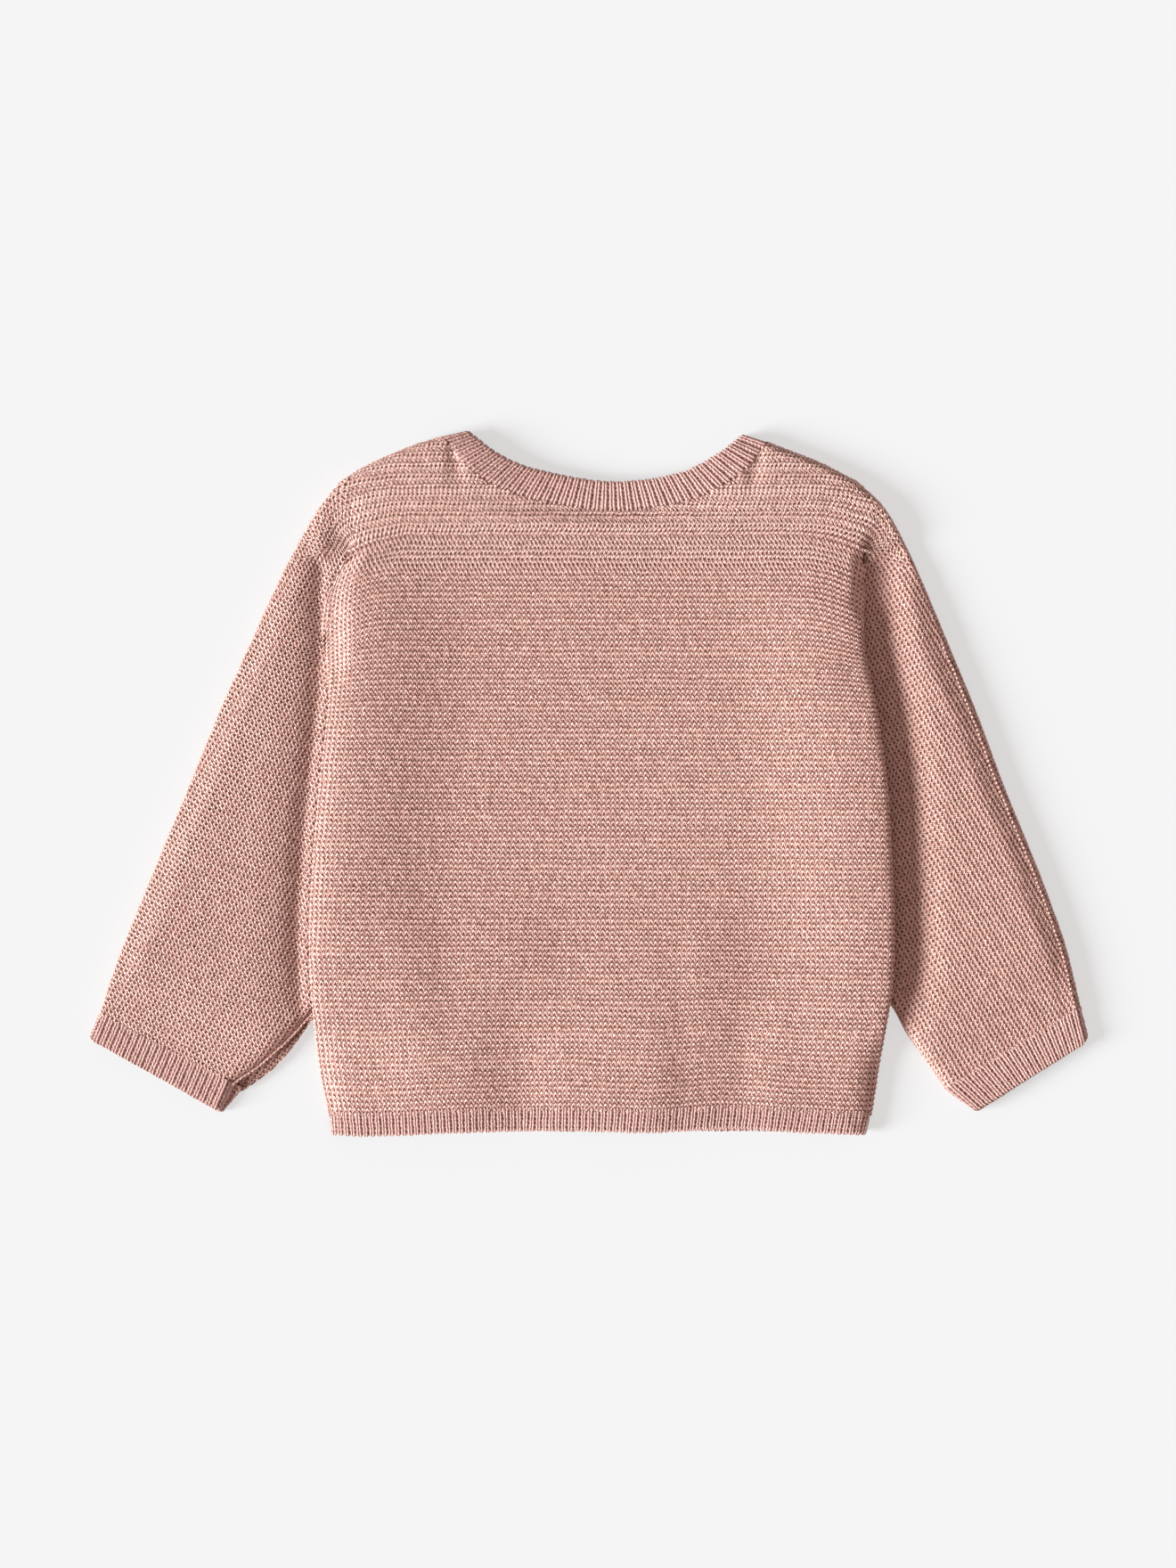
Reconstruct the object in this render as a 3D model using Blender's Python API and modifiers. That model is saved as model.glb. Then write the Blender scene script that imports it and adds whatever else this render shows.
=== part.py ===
"""Baby cardigan knitted in garter stitch, laid flat with its back upwards.

The sleeves are knitted in one with the back and the fronts and are folded down beside the body.
Sizes are in millimetres. The origin is under the middle of the cardigan, on the surface that it
lies on, with +X to the wearer's right and +Y to the neck.
"""

import math

import bmesh
import bpy

MM = 0.001

# Driving sizes
WALL = 2.2
GAP = 0.3
RIB_HEIGHT = 0.7
RIB_PITCH = 2.6
HEM_DEPTH = 8.4
CUFF_DEPTH = 9.6
CUFF_SEAM = 0.6  # between a cuff and its sleeve, whose edges lean over their seam
FOLD_INSET = 1.6  # the inside of the neckband's folds, back from the shoulder line
CURL_REACH = 1.5  # how far the outside of a curled edge stands out past its inside
SLEEVE_LIFT = 1.2  # how far a sleeve's upper wall lies above its lower wall
SLEEVE_CURL = 5.5  # how far from a sleeve's edge its upper wall starts to curl down
BAND_LEFT_EDGE = -3.0
BAND_RIGHT_EDGE = 23.0
BAND_WALL = 3.0
BAND_TOP_Y = 98.0
FRONT_HEM_Y = -141.5
HEM_MIDDLE_Y = -142.0  # the level of the back's lower edge, which waves about it
BUTTON_RADIUS = 5.5
BUTTON_THICKNESS = 1.3
BUTTON_LIFT = 0.2
BUTTON_PLACES = (86.0, 32.0, -22.0, -76.0, -130.0)
BODY_COLUMNS = 26

FLOOR_WALL = WALL  # the inside of a wall that rests on the surface
SECOND_WALL = 2 * WALL + GAP  # the inside of a downward wall that lies on another
SEAM_LEVEL = WALL + GAP  # the inside of the back where it meets a front at a seam

# The body's two side folds: y, left x, right x
BODY_SIDES = [
    (-143.0, -104.4, 113.1),
    (-130.9, -105.9, 115.6),
    (-116.4, -108.8, 117.8),
    (-98.0, -110.8, 120.8),
    (-84.0, -112.2, 123.0),
    (-62.0, -113.0, 124.0),
    (-29.4, -111.3, 122.9),
    (0.0, -108.7, 121.0),
    (35.9, -104.8, 116.0),
    (57.6, -104.0, 112.2),
    (76.0, -104.0, 111.6),
    (88.0, -102.4, 112.6),
    (101.0, -97.2, 114.0),
]

# The height of the back's inside: y, at the side fold, at the crown beside it, in the middle
BACK_HEIGHTS = [
    (-143.0, 2.5, 5.4, 3.4),
    (-114.0, 2.5, 6.6, 4.4),
    (-98.0, 7.5, 9.4, 6.0),
    (-60.0, 7.5, 10.0, 6.6),
    (0.0, 7.5, 10.2, 6.8),
    (46.0, 7.3, 9.7, 6.6),
    (66.0, 6.6, 9.0, 6.5),
    (84.0, 5.6, 7.6, 6.3),
    (101.0, 5.0, 5.8, 5.8),
]
CROWN_REACH = 12.0
CROWN_FALL = 46.0

# The three waves of the hem: crest x, half width of the crest, reach of each flank
HEM_WAVES = [
    (-58.0, 4.0, 27.0),
    (9.0, 16.0, 22.0),
    (86.0, 4.0, 22.0),
]
HEM_WAVE_HEIGHT = 2.9
HEM_WAVE_TOP_Y = -60.0

# The lower edge of the hem: x, y
HEM_LINE = [
    (-104.4, -142.4),
    (-88.0, -142.9),
    (-50.0, -141.3),
    (-10.0, -140.6),
    (26.0, -141.4),
    (56.0, -139.8),
    (84.0, -141.4),
    (113.1, -142.6),
]

# Shoulder and neck seams from above, left to right: x, y
LEFT_SHOULDER = [(-100.4, 122.9), (-87.7, 130.1), (-70.3, 137.4), (-59.8, 140.7)]
NECK_SEAM = [
    (-59.8, 140.7),
    (-44.2, 124.3),
    (-22.1, 115.0),
    (11.0, 111.0),
    (40.2, 114.4),
    (61.0, 124.6),
    (73.2, 138.4),
]
RIGHT_SHOULDER = [(73.2, 138.4), (94.3, 130.1), (109.4, 122.4)]
NECK_EDGE = [
    (-48.9, 143.2),
    (-36.3, 133.8),
    (-21.8, 127.6),
    (10.9, 122.3),
    (38.0, 126.2),
    (54.0, 134.6),
    (62.7, 141.7),
]

# The front neckline, from the shoulder to the button bands: x, y
FRONT_SEAM_LEFT = [(-59.8, 140.4), (-58.5, 126.0), (-51.0, 106.0), (-31.0, 91.0), (-3.3, 87.0)]
FRONT_EDGE_LEFT = [(-48.9, 142.9), (-47.6, 129.0), (-41.5, 112.5), (-25.0, 100.8), (-3.3, 98.0)]
FRONT_SEAM_RIGHT = [(73.2, 138.1), (71.8, 125.0), (65.5, 106.0), (48.0, 91.0), (23.3, 87.0)]
FRONT_EDGE_RIGHT = [(62.7, 141.4), (61.3, 128.0), (56.0, 112.5), (43.0, 100.8), (23.3, 98.0)]

# Sleeves from the shoulder to the cuff: outer x, outer y, inner x, inner y
LEFT_SLEEVE = [
    (-100.4, 122.9, -97.2, 101.0),
    (-110.0, 111.0, -103.4, 91.0),
    (-117.5, 97.8, -102.5, 70.0),
    (-126.5, 80.5, -91.0, 45.0),
    (-137.0, 57.6, -80.0, 12.0),
    (-150.1, 28.6, -76.0, -24.0),
    (-161.9, -0.4, -86.0, -58.0),
    (-171.0, -22.0, -99.5, -79.5),
    (-177.5, -38.0, -111.6, -92.5),
    (-183.5, -52.5, -121.0, -103.0),
    (-191.0, -71.0, -132.5, -113.5),
    (-198.6, -94.0, -144.9, -122.2),
]
RIGHT_SLEEVE = [
    (109.4, 122.4, 114.0, 101.0),
    (120.0, 112.4, 115.0, 91.0),
    (129.5, 95.6, 112.9, 70.0),
    (138.0, 76.5, 102.0, 45.0),
    (145.9, 57.6, 91.0, 12.0),
    (157.9, 28.6, 86.0, -24.0),
    (168.7, -0.4, 96.0, -56.0),
    (176.5, -19.5, 110.0, -76.0),
    (183.0, -35.5, 122.6, -89.5),
    (188.5, -50.0, 129.5, -101.5),
    (194.6, -68.0, 137.0, -112.5),
    (200.2, -91.4, 145.6, -124.6),
]
FIRST_SEAMED_ROW = 8  # from this row the sleeve's inner edge is clear of the body
LEFT_CUFF_END = (-202.6, -103.7, -149.7, -133.6)
RIGHT_CUFF_END = (203.0, -104.8, 157.0, -134.0)

SIDE_STEPS = (0.0, 1.3, 4.0, 9.0)  # columns beside a curled side edge
TOP_STEPS = (0.0, 0.24, 0.46, 0.64, 0.78, 0.89, 0.96, 1.0)  # rows from the armpit to the shoulder
SLEEVE_EDGE_STEPS = (1.3, 4.0)
FRONT_SHARES = (0.0, 0.1, 0.2, 0.29, 0.39, 0.48, 0.58, 0.68, 0.78, 0.87, 0.97, 1.0)
FRONT_TURN = 4  # the front's column that ends at the neck point
BODY_ROWS = 15

PINK = (0.58, 0.335, 0.29)
BUTTON_PINK = (0.66, 0.42, 0.38)


def clamp(value):
    return max(0.0, min(1.0, value))


def ease(value):
    """0 to 1 with a level start and end."""
    value = clamp(value)
    return value * value * (3.0 - 2.0 * value)


def mix(a, b, share):
    return a + (b - a) * share


def quarter_round(distance, reach):
    """0 at an edge, rising as a quarter ellipse to 1 at the given reach."""
    left = 1.0 - clamp(distance / reach)
    return math.sqrt(max(0.0, 1.0 - left * left))


def table_at(rows, key):
    """A row of a table whose first column is the key, read between its rows on a smooth curve."""
    keys = [row[0] for row in rows]
    key = max(keys[0], min(keys[-1], key))
    last = len(rows) - 2
    i = min(last, max(k for k in range(len(rows) - 1) if keys[k] <= key))
    before = rows[max(i - 1, 0)]
    low = rows[i]
    high = rows[i + 1]
    after = rows[min(i + 2, len(rows) - 1)]
    span = high[0] - low[0]
    t = (key - low[0]) / span
    result = []
    for column in range(1, len(low)):
        low_slope = (high[column] - before[column]) / max(high[0] - before[0], 1e-9)
        high_slope = (after[column] - low[column]) / max(after[0] - low[0], 1e-9)
        curve = (
            (2 * t**3 - 3 * t**2 + 1) * low[column]
            + (t**3 - 2 * t**2 + t) * span * low_slope
            + (3 * t**2 - 2 * t**3) * high[column]
            + (t**3 - t**2) * span * high_slope
        )
        result.append(curve)
    return result


def route(points, share):
    """The point at a share of the length of a smooth curve through the given points."""
    lengths = [0.0]
    for a, b in zip(points, points[1:]):
        lengths.append(lengths[-1] + math.dist(a, b))
    rows = [(length, *point) for length, point in zip(lengths, points)]
    return table_at(rows, share * lengths[-1])


def sides_at(y):
    return table_at(BODY_SIDES, y)


def hem_wave(x, y):
    """The lift of the hem's soft waves, which fade away up the back."""
    fade = ease((HEM_WAVE_TOP_Y - y) / 60.0)
    lift = 0.0
    for crest, half_width, flank in HEM_WAVES:
        lift = max(lift, 1.0 - ease((abs(x - crest) - half_width) / flank))
    return HEM_WAVE_HEIGHT * fade * lift


def back_height(x, y):
    """The inside of the back between its side folds, below the armpits."""
    left, right = sides_at(y)
    edge, crown, middle = table_at(BACK_HEIGHTS, y)
    distance = max(0.0, min(x - left, right - x) - CURL_REACH)
    rise = quarter_round(distance, CROWN_REACH)
    fall = ease((distance - CROWN_REACH) / CROWN_FALL)
    beside = mix(edge, crown, rise)
    return mix(beside, middle + hem_wave(x, y), fall)


def front_left_rise(x):
    """The lift of the left front where it climbs on to the right front's band."""
    return (BAND_WALL + GAP) * ease((x - BAND_LEFT_EDGE + 18.0) / 14.0)


def new_material(name, colour, roughness):
    material = bpy.data.materials.new(name)
    material.use_nodes = True
    surface = material.node_tree.nodes["Principled BSDF"]
    surface.inputs["Base Color"].default_value = (*colour, 1.0)
    surface.inputs["Roughness"].default_value = roughness
    surface.inputs["Metallic"].default_value = 0.0
    return material


def add_grid(mesh, rows, closed=False):
    """Quads between rows of points, and around each row where it is closed."""
    made = [[mesh.verts.new([c * MM for c in point]) for point in row] for row in rows]
    for lower, upper in zip(made, made[1:]):
        count = len(lower)
        for i in range(count if closed else count - 1):
            j = (i + 1) % count
            mesh.faces.new((lower[i], lower[j], upper[j], upper[i]))


def wall(name, grids, material, outward, ribs=None, closed=False):
    """A wall whose inside is the given grids, thickened outwards, with ribs in its outer points.

    outward is +1 where most of the wall faces up, or -1 where most of it faces down.
    ribs takes a point and says whether it is the crest of a rib.
    """
    mesh = bmesh.new()
    for rows in grids:
        add_grid(mesh, rows, closed)
    bmesh.ops.remove_doubles(mesh, verts=mesh.verts, dist=0.01 * MM)
    bmesh.ops.recalc_face_normals(mesh, faces=mesh.faces)
    mesh.normal_update()
    facing = sum(face.normal.z * face.calc_area() for face in mesh.faces)
    if not closed and facing * outward < 0:
        bmesh.ops.reverse_faces(mesh, faces=mesh.faces)
    data = bpy.data.meshes.new(name)
    mesh.to_mesh(data)
    mesh.free()
    data.materials.append(material)
    piece = bpy.data.objects.new(name, data)
    cardigan.objects.link(piece)
    solid = piece.modifiers.new("Wall", "SOLIDIFY")
    solid.offset = 1.0
    solid.thickness = WALL * MM
    if ribs:
        raised = WALL + RIB_HEIGHT
        solid.thickness = raised * MM
        group = piece.vertex_groups.new(name="rib")
        for vertex in data.vertices:
            crest = ribs(*[c / MM for c in vertex.co])
            group.add([vertex.index], 1.0 if crest else WALL / raised, "REPLACE")
        solid.vertex_group = group.name
        solid.thickness_vertex_group = 0.0
    return piece


def column_places(left, right, columns=BODY_COLUMNS):
    """Columns between two side folds, close together at the folds: distances from the left."""
    width = right - left
    inner = columns - 2 * len(SIDE_STEPS)
    first = SIDE_STEPS[-1]
    step = (width - 2 * first) / (inner + 1)
    middle = [first + step * (i + 1) for i in range(inner)]
    return [*SIDE_STEPS, *middle, *[width - s for s in reversed(SIDE_STEPS)]]


def back_top(column, columns):
    """The shoulder and neck line above a column, and whether it is part of the neck."""
    shoulder = 5
    last = columns - 1
    if column < shoulder:
        return route(LEFT_SHOULDER, column / shoulder), 0.0
    if column > last - shoulder:
        return route(RIGHT_SHOULDER, 1.0 - (last - column) / shoulder), 0.0
    share = (column - shoulder) / (last - 2 * shoulder)
    return route(NECK_SEAM, share), min(share, 1.0 - share)


def neck_level(share):
    """The inside of the back at the neck seam, from a shoulder to the middle of the neck."""
    rise = ease(share / 0.12)
    return mix(SEAM_LEVEL, mix(4.4, 2.9, ease(share / 0.5)), rise)


def back_body():
    """Rows of the back from the hem seam up to the shoulders and neck."""
    armpit_left, armpit_right = BODY_SIDES[-1][1:]
    armpit_y = BODY_SIDES[-1][0]
    bottom = HEM_MIDDLE_Y + HEM_DEPTH
    rows = []
    for i in range(BODY_ROWS + 1):
        level = mix(bottom, armpit_y, i / BODY_ROWS)
        curl = CURL_REACH * ease((armpit_y - level) / 14.0)
        left, right = sides_at(level)
        row = []
        for place in column_places(left + curl, right - curl):
            x = left + curl + place
            y = level if i else table_at(HEM_LINE, x)[0] + HEM_DEPTH
            row.append((x, y, back_height(x, y)))
        rows.append(row)
    places = column_places(armpit_left, armpit_right)
    for step in TOP_STEPS[1:]:
        row = []
        for column, place in enumerate(places):
            low = (armpit_left + place, armpit_y)
            high, neck_share = back_top(column, len(places))
            x = mix(low[0], high[0], step)
            y = mix(low[1], high[1], step)
            start = back_height(*low)
            end = neck_level(neck_share)
            drop = quarter_round(1.0 - step, 0.25) if neck_share < 0.1 else ease((1.0 - step) / 0.6)
            row.append((x, y, mix(end, mix(5.0, start, ease((1.0 - step) / 0.7)), drop)))
        rows.append(row)
    return rows


def under_body(x, y, side):
    """0 well outside the body's side fold, and 1 where a sleeve lies under the fold."""
    left, right = sides_at(y)
    inside = (x - left) if side < 0 else (right - x)
    return ease((inside + 11.0) / 10.0)


def lower_wall_level(x, y, side, index, share):
    """The inside of a sleeve's lower wall: on the surface, or on the front where that covers it."""
    if index == 1:
        covered = ease(share * 1.6 - 0.6)
    else:
        covered = under_body(x, y, side)
    return mix(FLOOR_WALL, SECOND_WALL, covered)


def sleeve_rows(table, side, shoulder, outward):
    """Rows down one wall of a sleeve, from the given shoulder points to the cuff seam."""
    rows = [shoulder]
    count = len(shoulder)
    for index, (outer_x, outer_y, inner_x, inner_y) in enumerate(table[1:], 1):
        width = math.dist((outer_x, outer_y), (inner_x, inner_y))
        seamed = index >= FIRST_SEAMED_ROW
        edge = CURL_REACH if outward > 0 else 0.0
        inner_edge = edge if seamed else 0.0
        first = [edge, *[edge + s for s in SLEEVE_EDGE_STEPS]]
        last = [width - inner_edge - s for s in reversed(SLEEVE_EDGE_STEPS)] + [width - inner_edge]
        between = count - len(first) - len(last)
        step = (last[0] - first[-1]) / (between + 1)
        places = [*first, *[first[-1] + step * (i + 1) for i in range(between)], *last]
        row = []
        for place in places:
            x = mix(outer_x, inner_x, place / width)
            y = mix(outer_y, inner_y, place / width)
            z = lower_wall_level(x, y, side, index, place / width)
            if outward > 0:
                covered = under_body(x, y, side) if index > 1 else 1.0
                high = mix(WALL + SLEEVE_LIFT, 2 * WALL + 2 * GAP, covered)
                rise = quarter_round(place - edge, SLEEVE_CURL)
                if seamed:
                    rise *= quarter_round(width - inner_edge - place, SLEEVE_CURL)
                z = max(z + GAP, mix(SEAM_LEVEL, high, rise))
            row.append((x, y, z))
        rows.append(row)
    return rows


def back_grids():
    body = back_body()
    upper = body[BODY_ROWS:]
    left_shoulder = [row[0] for row in reversed(upper)]
    right_shoulder = [row[-1] for row in reversed(upper)]
    left = sleeve_rows(LEFT_SLEEVE, -1, left_shoulder, 1)
    right = sleeve_rows(RIGHT_SLEEVE, 1, right_shoulder, 1)
    return [body, left, right]


def neck_share_of(share):
    """Where one of a front's columns meets its neck seam, from the shoulder to the band."""
    first = FRONT_SHARES[FRONT_TURN]
    return (share - first) / (1.0 - first)


def front_grids(side):
    """The front on one side of the bands, with the lower wall of its sleeve."""
    left = side < 0
    shoulder = LEFT_SHOULDER if left else RIGHT_SHOULDER[::-1]
    seam = FRONT_SEAM_LEFT if left else FRONT_SEAM_RIGHT
    table = LEFT_SLEEVE if left else RIGHT_SLEEVE
    band = (BAND_LEFT_EDGE - GAP) if left else (BAND_RIGHT_EDGE + GAP)
    armpit_y = BODY_SIDES[-1][0]
    armpit_x = table[0][2]

    def level(x):
        return FLOOR_WALL + (front_left_rise(x) if left else 0.0)

    def armpit_line(share):
        return mix(armpit_x, band, share), mix(armpit_y, 70.0, ease(share))

    rows = []
    row_count = 10
    for i in range(row_count):
        row = []
        for share in FRONT_SHARES:
            top_y = armpit_line(share)[1]
            y = mix(FRONT_HEM_Y + HEM_DEPTH, top_y, i / row_count)
            side_x = sides_at(y)[0 if left else 1]
            inset = 1.0 * ease((armpit_y - y) / 14.0)
            x = mix(side_x - side * inset, band, share)
            row.append((x, y, level(x)))
        rows.append(row)
    for step in TOP_STEPS:
        row = []
        for column, share in enumerate(FRONT_SHARES):
            low = armpit_line(share)
            if column <= FRONT_TURN:
                high = route(shoulder, column / FRONT_TURN)
            else:
                high = route(seam, neck_share_of(share))
            x = mix(low[0], high[0], step)
            y = mix(low[1], high[1], step)
            row.append((x, y, level(x)))
        rows.append(row)
    shoulder_points = [row[0] for row in reversed(rows[row_count:])]
    return [rows, sleeve_rows(table, side, shoulder_points, -1)]


def hem_back_grid():
    """The rib below the back, with two columns to each rib."""
    left, right = sides_at(-143.0)
    ribs = round((right - left) / RIB_PITCH)
    rows = []
    for share in (0.0, 0.5, 1.0):
        row = []
        for column in range(2 * ribs + 1):
            across = column / (2 * ribs)
            low_x = mix(left + CURL_REACH, right - CURL_REACH, across)
            low_y = table_at(HEM_LINE, low_x)[0]
            y = low_y + (HEM_DEPTH - GAP) * share
            side_left, side_right = sides_at(y)
            x = mix(side_left + CURL_REACH, side_right - CURL_REACH, across)
            row.append((x, y, back_height(x, y)))
        rows.append(row)
    crests = [row[1::2] for row in rows]
    return rows, crests


def near_any(points):
    """A test of whether a point is one of the given points."""
    known = {tuple(round(c, 2) for c in point) for row in points for point in row}

    def test(x, y, z):
        return (round(x, 2), round(y, 2), round(z, 2)) in known

    return test


def hem_front_grid(side):
    """The hem rib of one front, plain on the underside that it rests on."""
    left = side < 0
    band = (BAND_LEFT_EDGE - GAP) if left else (BAND_RIGHT_EDGE + GAP)
    rows = []
    for y in (FRONT_HEM_Y, FRONT_HEM_Y + HEM_DEPTH - GAP):
        side_x = sides_at(y)[0 if left else 1]
        row = []
        for share in (0.0, 0.15, 0.3, 0.45, 0.6, 0.75, 0.86, 0.97, 1.0):
            x = mix(side_x - side * 1.0, band, share)
            row.append((x, y, FLOOR_WALL + (front_left_rise(x) if left else 0.0)))
        rows.append(row)
    return rows


def neckband_grid():
    """The neckband, from one button band round the back of the neck to the other.

    It folds over at both shoulders: its back half faces up and its front parts face down.
    """
    sections = []
    crests = []

    def cross(seam, edge, height, pull):
        """Three points across the band, pulled towards the neck by the seam's gap."""
        row = []
        for share in (pull, 0.5, 1.0):
            x = mix(seam[0], edge[0], share)
            y = mix(seam[1], edge[1], share)
            row.append((x, y, height(share, x)))
        return row

    def front_part(seam, edge, climbs):
        part = []
        for column_share in FRONT_SHARES[FRONT_TURN + 1 :]:
            share = neck_share_of(column_share)
            base = FLOOR_WALL

            def height(_, x, base=base):
                return base + (front_left_rise(x) if climbs else 0.0)

            part.append(cross(route(seam, share), route(edge, share), height, 0.07))
        return part

    def fold(seam, edge):
        """Two sections at the fold over a shoulder, set in by the wall's thickness."""
        part = []
        for level in (3.0, 4.0):
            row = []
            for share in (0.26, 0.6, 1.0):
                x = mix(seam[0], edge[0], share)
                y = mix(seam[1], edge[1], share) - FOLD_INSET
                row.append((x, y, level))
            part.append(row)
        return part

    left_front = front_part(FRONT_SEAM_LEFT, FRONT_EDGE_LEFT, True)
    right_front = front_part(FRONT_SEAM_RIGHT, FRONT_EDGE_RIGHT, False)
    sections += left_front[::-1]
    sections += fold(NECK_SEAM[0], NECK_EDGE[0])
    ribs = 43
    for column in range(2 * ribs + 1):
        share = mix(0.035, 0.965, column / (2 * ribs))
        seam = route(NECK_SEAM, share)
        edge = route(NECK_EDGE, share)
        level = neck_level(min(share, 1.0 - share) + 0.04)
        lift = ease(min(share, 1.0 - share) / 0.05)
        level = mix(4.6, level, lift)

        def height(across, _, level=level):
            return level - 0.5 * across * across

        row = cross(seam, edge, height, mix(0.22, 0.07, ease(min(share, 1.0 - share) / 0.2)))
        sections.append(row)
        if column % 2:
            crests.append(row)
    sections += fold(NECK_SEAM[-1], NECK_EDGE[-1])[::-1]
    sections += right_front
    return sections, crests


def cuff_grid(seam_line, end_line):
    """A flattened tube below the sleeve, with ribs on its upper side."""
    ribs = 22
    side_x, side_y, inner_x, inner_y = seam_line
    end_side_x, end_side_y, end_inner_x, end_inner_y = end_line
    rows = []
    crests = []
    for share in (CUFF_SEAM / CUFF_DEPTH, 0.5, 1.0):
        outer = (mix(side_x, end_side_x, share), mix(side_y, end_side_y, share))
        inner = (mix(inner_x, end_inner_x, share), mix(inner_y, end_inner_y, share))
        width = math.dist(outer, inner)
        top = WALL + SLEEVE_LIFT
        corner = 0.5
        upper = [mix(WALL + corner, width - WALL - corner, i / (2 * ribs)) for i in range(2 * ribs + 1)]
        lower = [mix(width - WALL - corner, WALL + corner, i / 5) for i in range(6)]
        loop = [(place, top) for place in upper]
        loop += [(width - WALL, top - corner), (width - WALL, WALL + corner)]
        loop += [(place, WALL) for place in lower]
        loop += [(WALL, WALL + corner), (WALL, top - corner)]
        row = []
        for place, z in loop:
            x = mix(outer[0], inner[0], place / width)
            y = mix(outer[1], inner[1], place / width)
            row.append((x, y, z))
        rows.append(row)
        crests.append(row[1 : 2 * ribs + 1 : 2])
    return rows, crests


def band_grid(level, top_y):
    """A plain band from the hem to the neck edge, between its two side edges."""
    rows = []
    for i in range(5):
        y = mix(FRONT_HEM_Y, top_y, i / 4)
        rows.append([(BAND_LEFT_EDGE, y, level), (BAND_RIGHT_EDGE, y, level)])
    return rows


def disc(name, radius, bottom, top, y, collection):
    """A short upright cylinder at the middle of the bands."""
    bpy.ops.mesh.primitive_cylinder_add(
        vertices=24,
        radius=radius * MM,
        depth=(top - bottom) * MM,
        location=(middle_of_bands * MM, y * MM, (bottom + top) / 2 * MM),
    )
    piece = bpy.context.object
    piece.name = name
    for owner in list(piece.users_collection):
        owner.objects.unlink(piece)
    collection.objects.link(piece)
    return piece


def seat_for_button(band, y, index):
    """Presses the place of one button into the outer side of the band."""
    seat = disc(f"button_seat_{index}", BUTTON_RADIUS + 0.4, -2.0, 1.8, y, cutters)
    seat.hide_render = True
    seat.display_type = "WIRE"
    cut = band.modifiers.new(f"Seat {index}", "BOOLEAN")
    cut.operation = "DIFFERENCE"
    cut.object = seat


def button(index, y):
    """A small round button, facing down, with a rounded rim."""
    name = f"button_{index}"
    bottom = BUTTON_LIFT
    piece = disc(name, BUTTON_RADIUS, bottom, bottom + BUTTON_THICKNESS, y, cardigan)
    piece.data.materials.append(plastic)
    rim = piece.modifiers.new("Rim", "BEVEL")
    rim.width = 0.35 * MM
    rim.segments = 2
    rim.limit_method = "ANGLE"
    piece.data.shade_smooth()


for old in list(bpy.data.objects):
    bpy.data.objects.remove(old)

cardigan = bpy.data.collections.new("Baby cardigan")
cutters = bpy.data.collections.new("Cutters")
bpy.context.scene.collection.children.link(cardigan)
bpy.context.scene.collection.children.link(cutters)
middle_of_bands = (BAND_LEFT_EDGE + BAND_RIGHT_EDGE) / 2

knit = new_material("Pink garter knit", PINK, 0.95)
rib_knit = new_material("Pink rib knit", PINK, 0.95)
plastic = new_material("Pink button", BUTTON_PINK, 0.35)

wall("back", back_grids(), knit, 1)
wall("front_left", front_grids(-1), knit, -1)
wall("front_right", front_grids(1), knit, -1)

hem_rows, hem_crests = hem_back_grid()
wall("hem_back", [hem_rows], rib_knit, 1, near_any(hem_crests))
wall("hem_front_left", [hem_front_grid(-1)], rib_knit, -1)
wall("hem_front_right", [hem_front_grid(1)], rib_knit, -1)

neck_rows, neck_crests = neckband_grid()
wall("neckband", [neck_rows], rib_knit, -1, near_any(neck_crests))

for cuff_name, sleeve, cuff_end in (
    ("cuff_left", LEFT_SLEEVE, LEFT_CUFF_END),
    ("cuff_right", RIGHT_SLEEVE, RIGHT_CUFF_END),
):
    cuff_rows, cuff_crests = cuff_grid(sleeve[-1], cuff_end)
    wall(cuff_name, [cuff_rows], rib_knit, 1, near_any(cuff_crests), closed=True)

wall("band_left", [band_grid(BAND_WALL + GAP + WALL, BAND_TOP_Y)], knit, -1)
right_band = wall("band_right", [band_grid(BAND_WALL, BAND_TOP_Y)], knit, -1)
right_band.modifiers["Wall"].thickness = BAND_WALL * MM

for number, place_y in enumerate(BUTTON_PLACES, 1):
    seat_for_button(right_band, place_y, number)
    button(number, place_y)
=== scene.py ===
"""Looks of the baby cardigan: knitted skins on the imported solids, the floor, light and camera.

Sizes are in millimetres in the frame of the solids, and are turned into metres when a mesh is made.
Each knitted skin is a lattice of its own stitches: columns along a ridge of the garter stitch and
two rows to each ridge, its crest and its valley.
"""

import math

import bpy
import numpy as np
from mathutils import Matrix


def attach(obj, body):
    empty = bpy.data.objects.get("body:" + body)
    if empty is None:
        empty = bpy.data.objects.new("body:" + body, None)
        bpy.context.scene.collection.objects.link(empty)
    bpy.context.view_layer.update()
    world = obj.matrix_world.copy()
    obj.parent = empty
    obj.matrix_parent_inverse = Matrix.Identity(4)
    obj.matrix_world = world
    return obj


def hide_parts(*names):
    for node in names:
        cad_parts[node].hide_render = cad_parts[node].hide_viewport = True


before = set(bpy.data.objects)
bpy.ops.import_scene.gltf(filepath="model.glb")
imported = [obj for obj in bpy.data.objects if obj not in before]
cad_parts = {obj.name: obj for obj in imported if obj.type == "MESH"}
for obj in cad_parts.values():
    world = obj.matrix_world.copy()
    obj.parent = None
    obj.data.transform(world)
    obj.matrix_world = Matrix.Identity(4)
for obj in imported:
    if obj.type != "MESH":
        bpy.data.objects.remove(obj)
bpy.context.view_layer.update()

MM = 0.001

# ---------------------------------------------------------------- the solids' sizes, as in part.py

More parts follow.
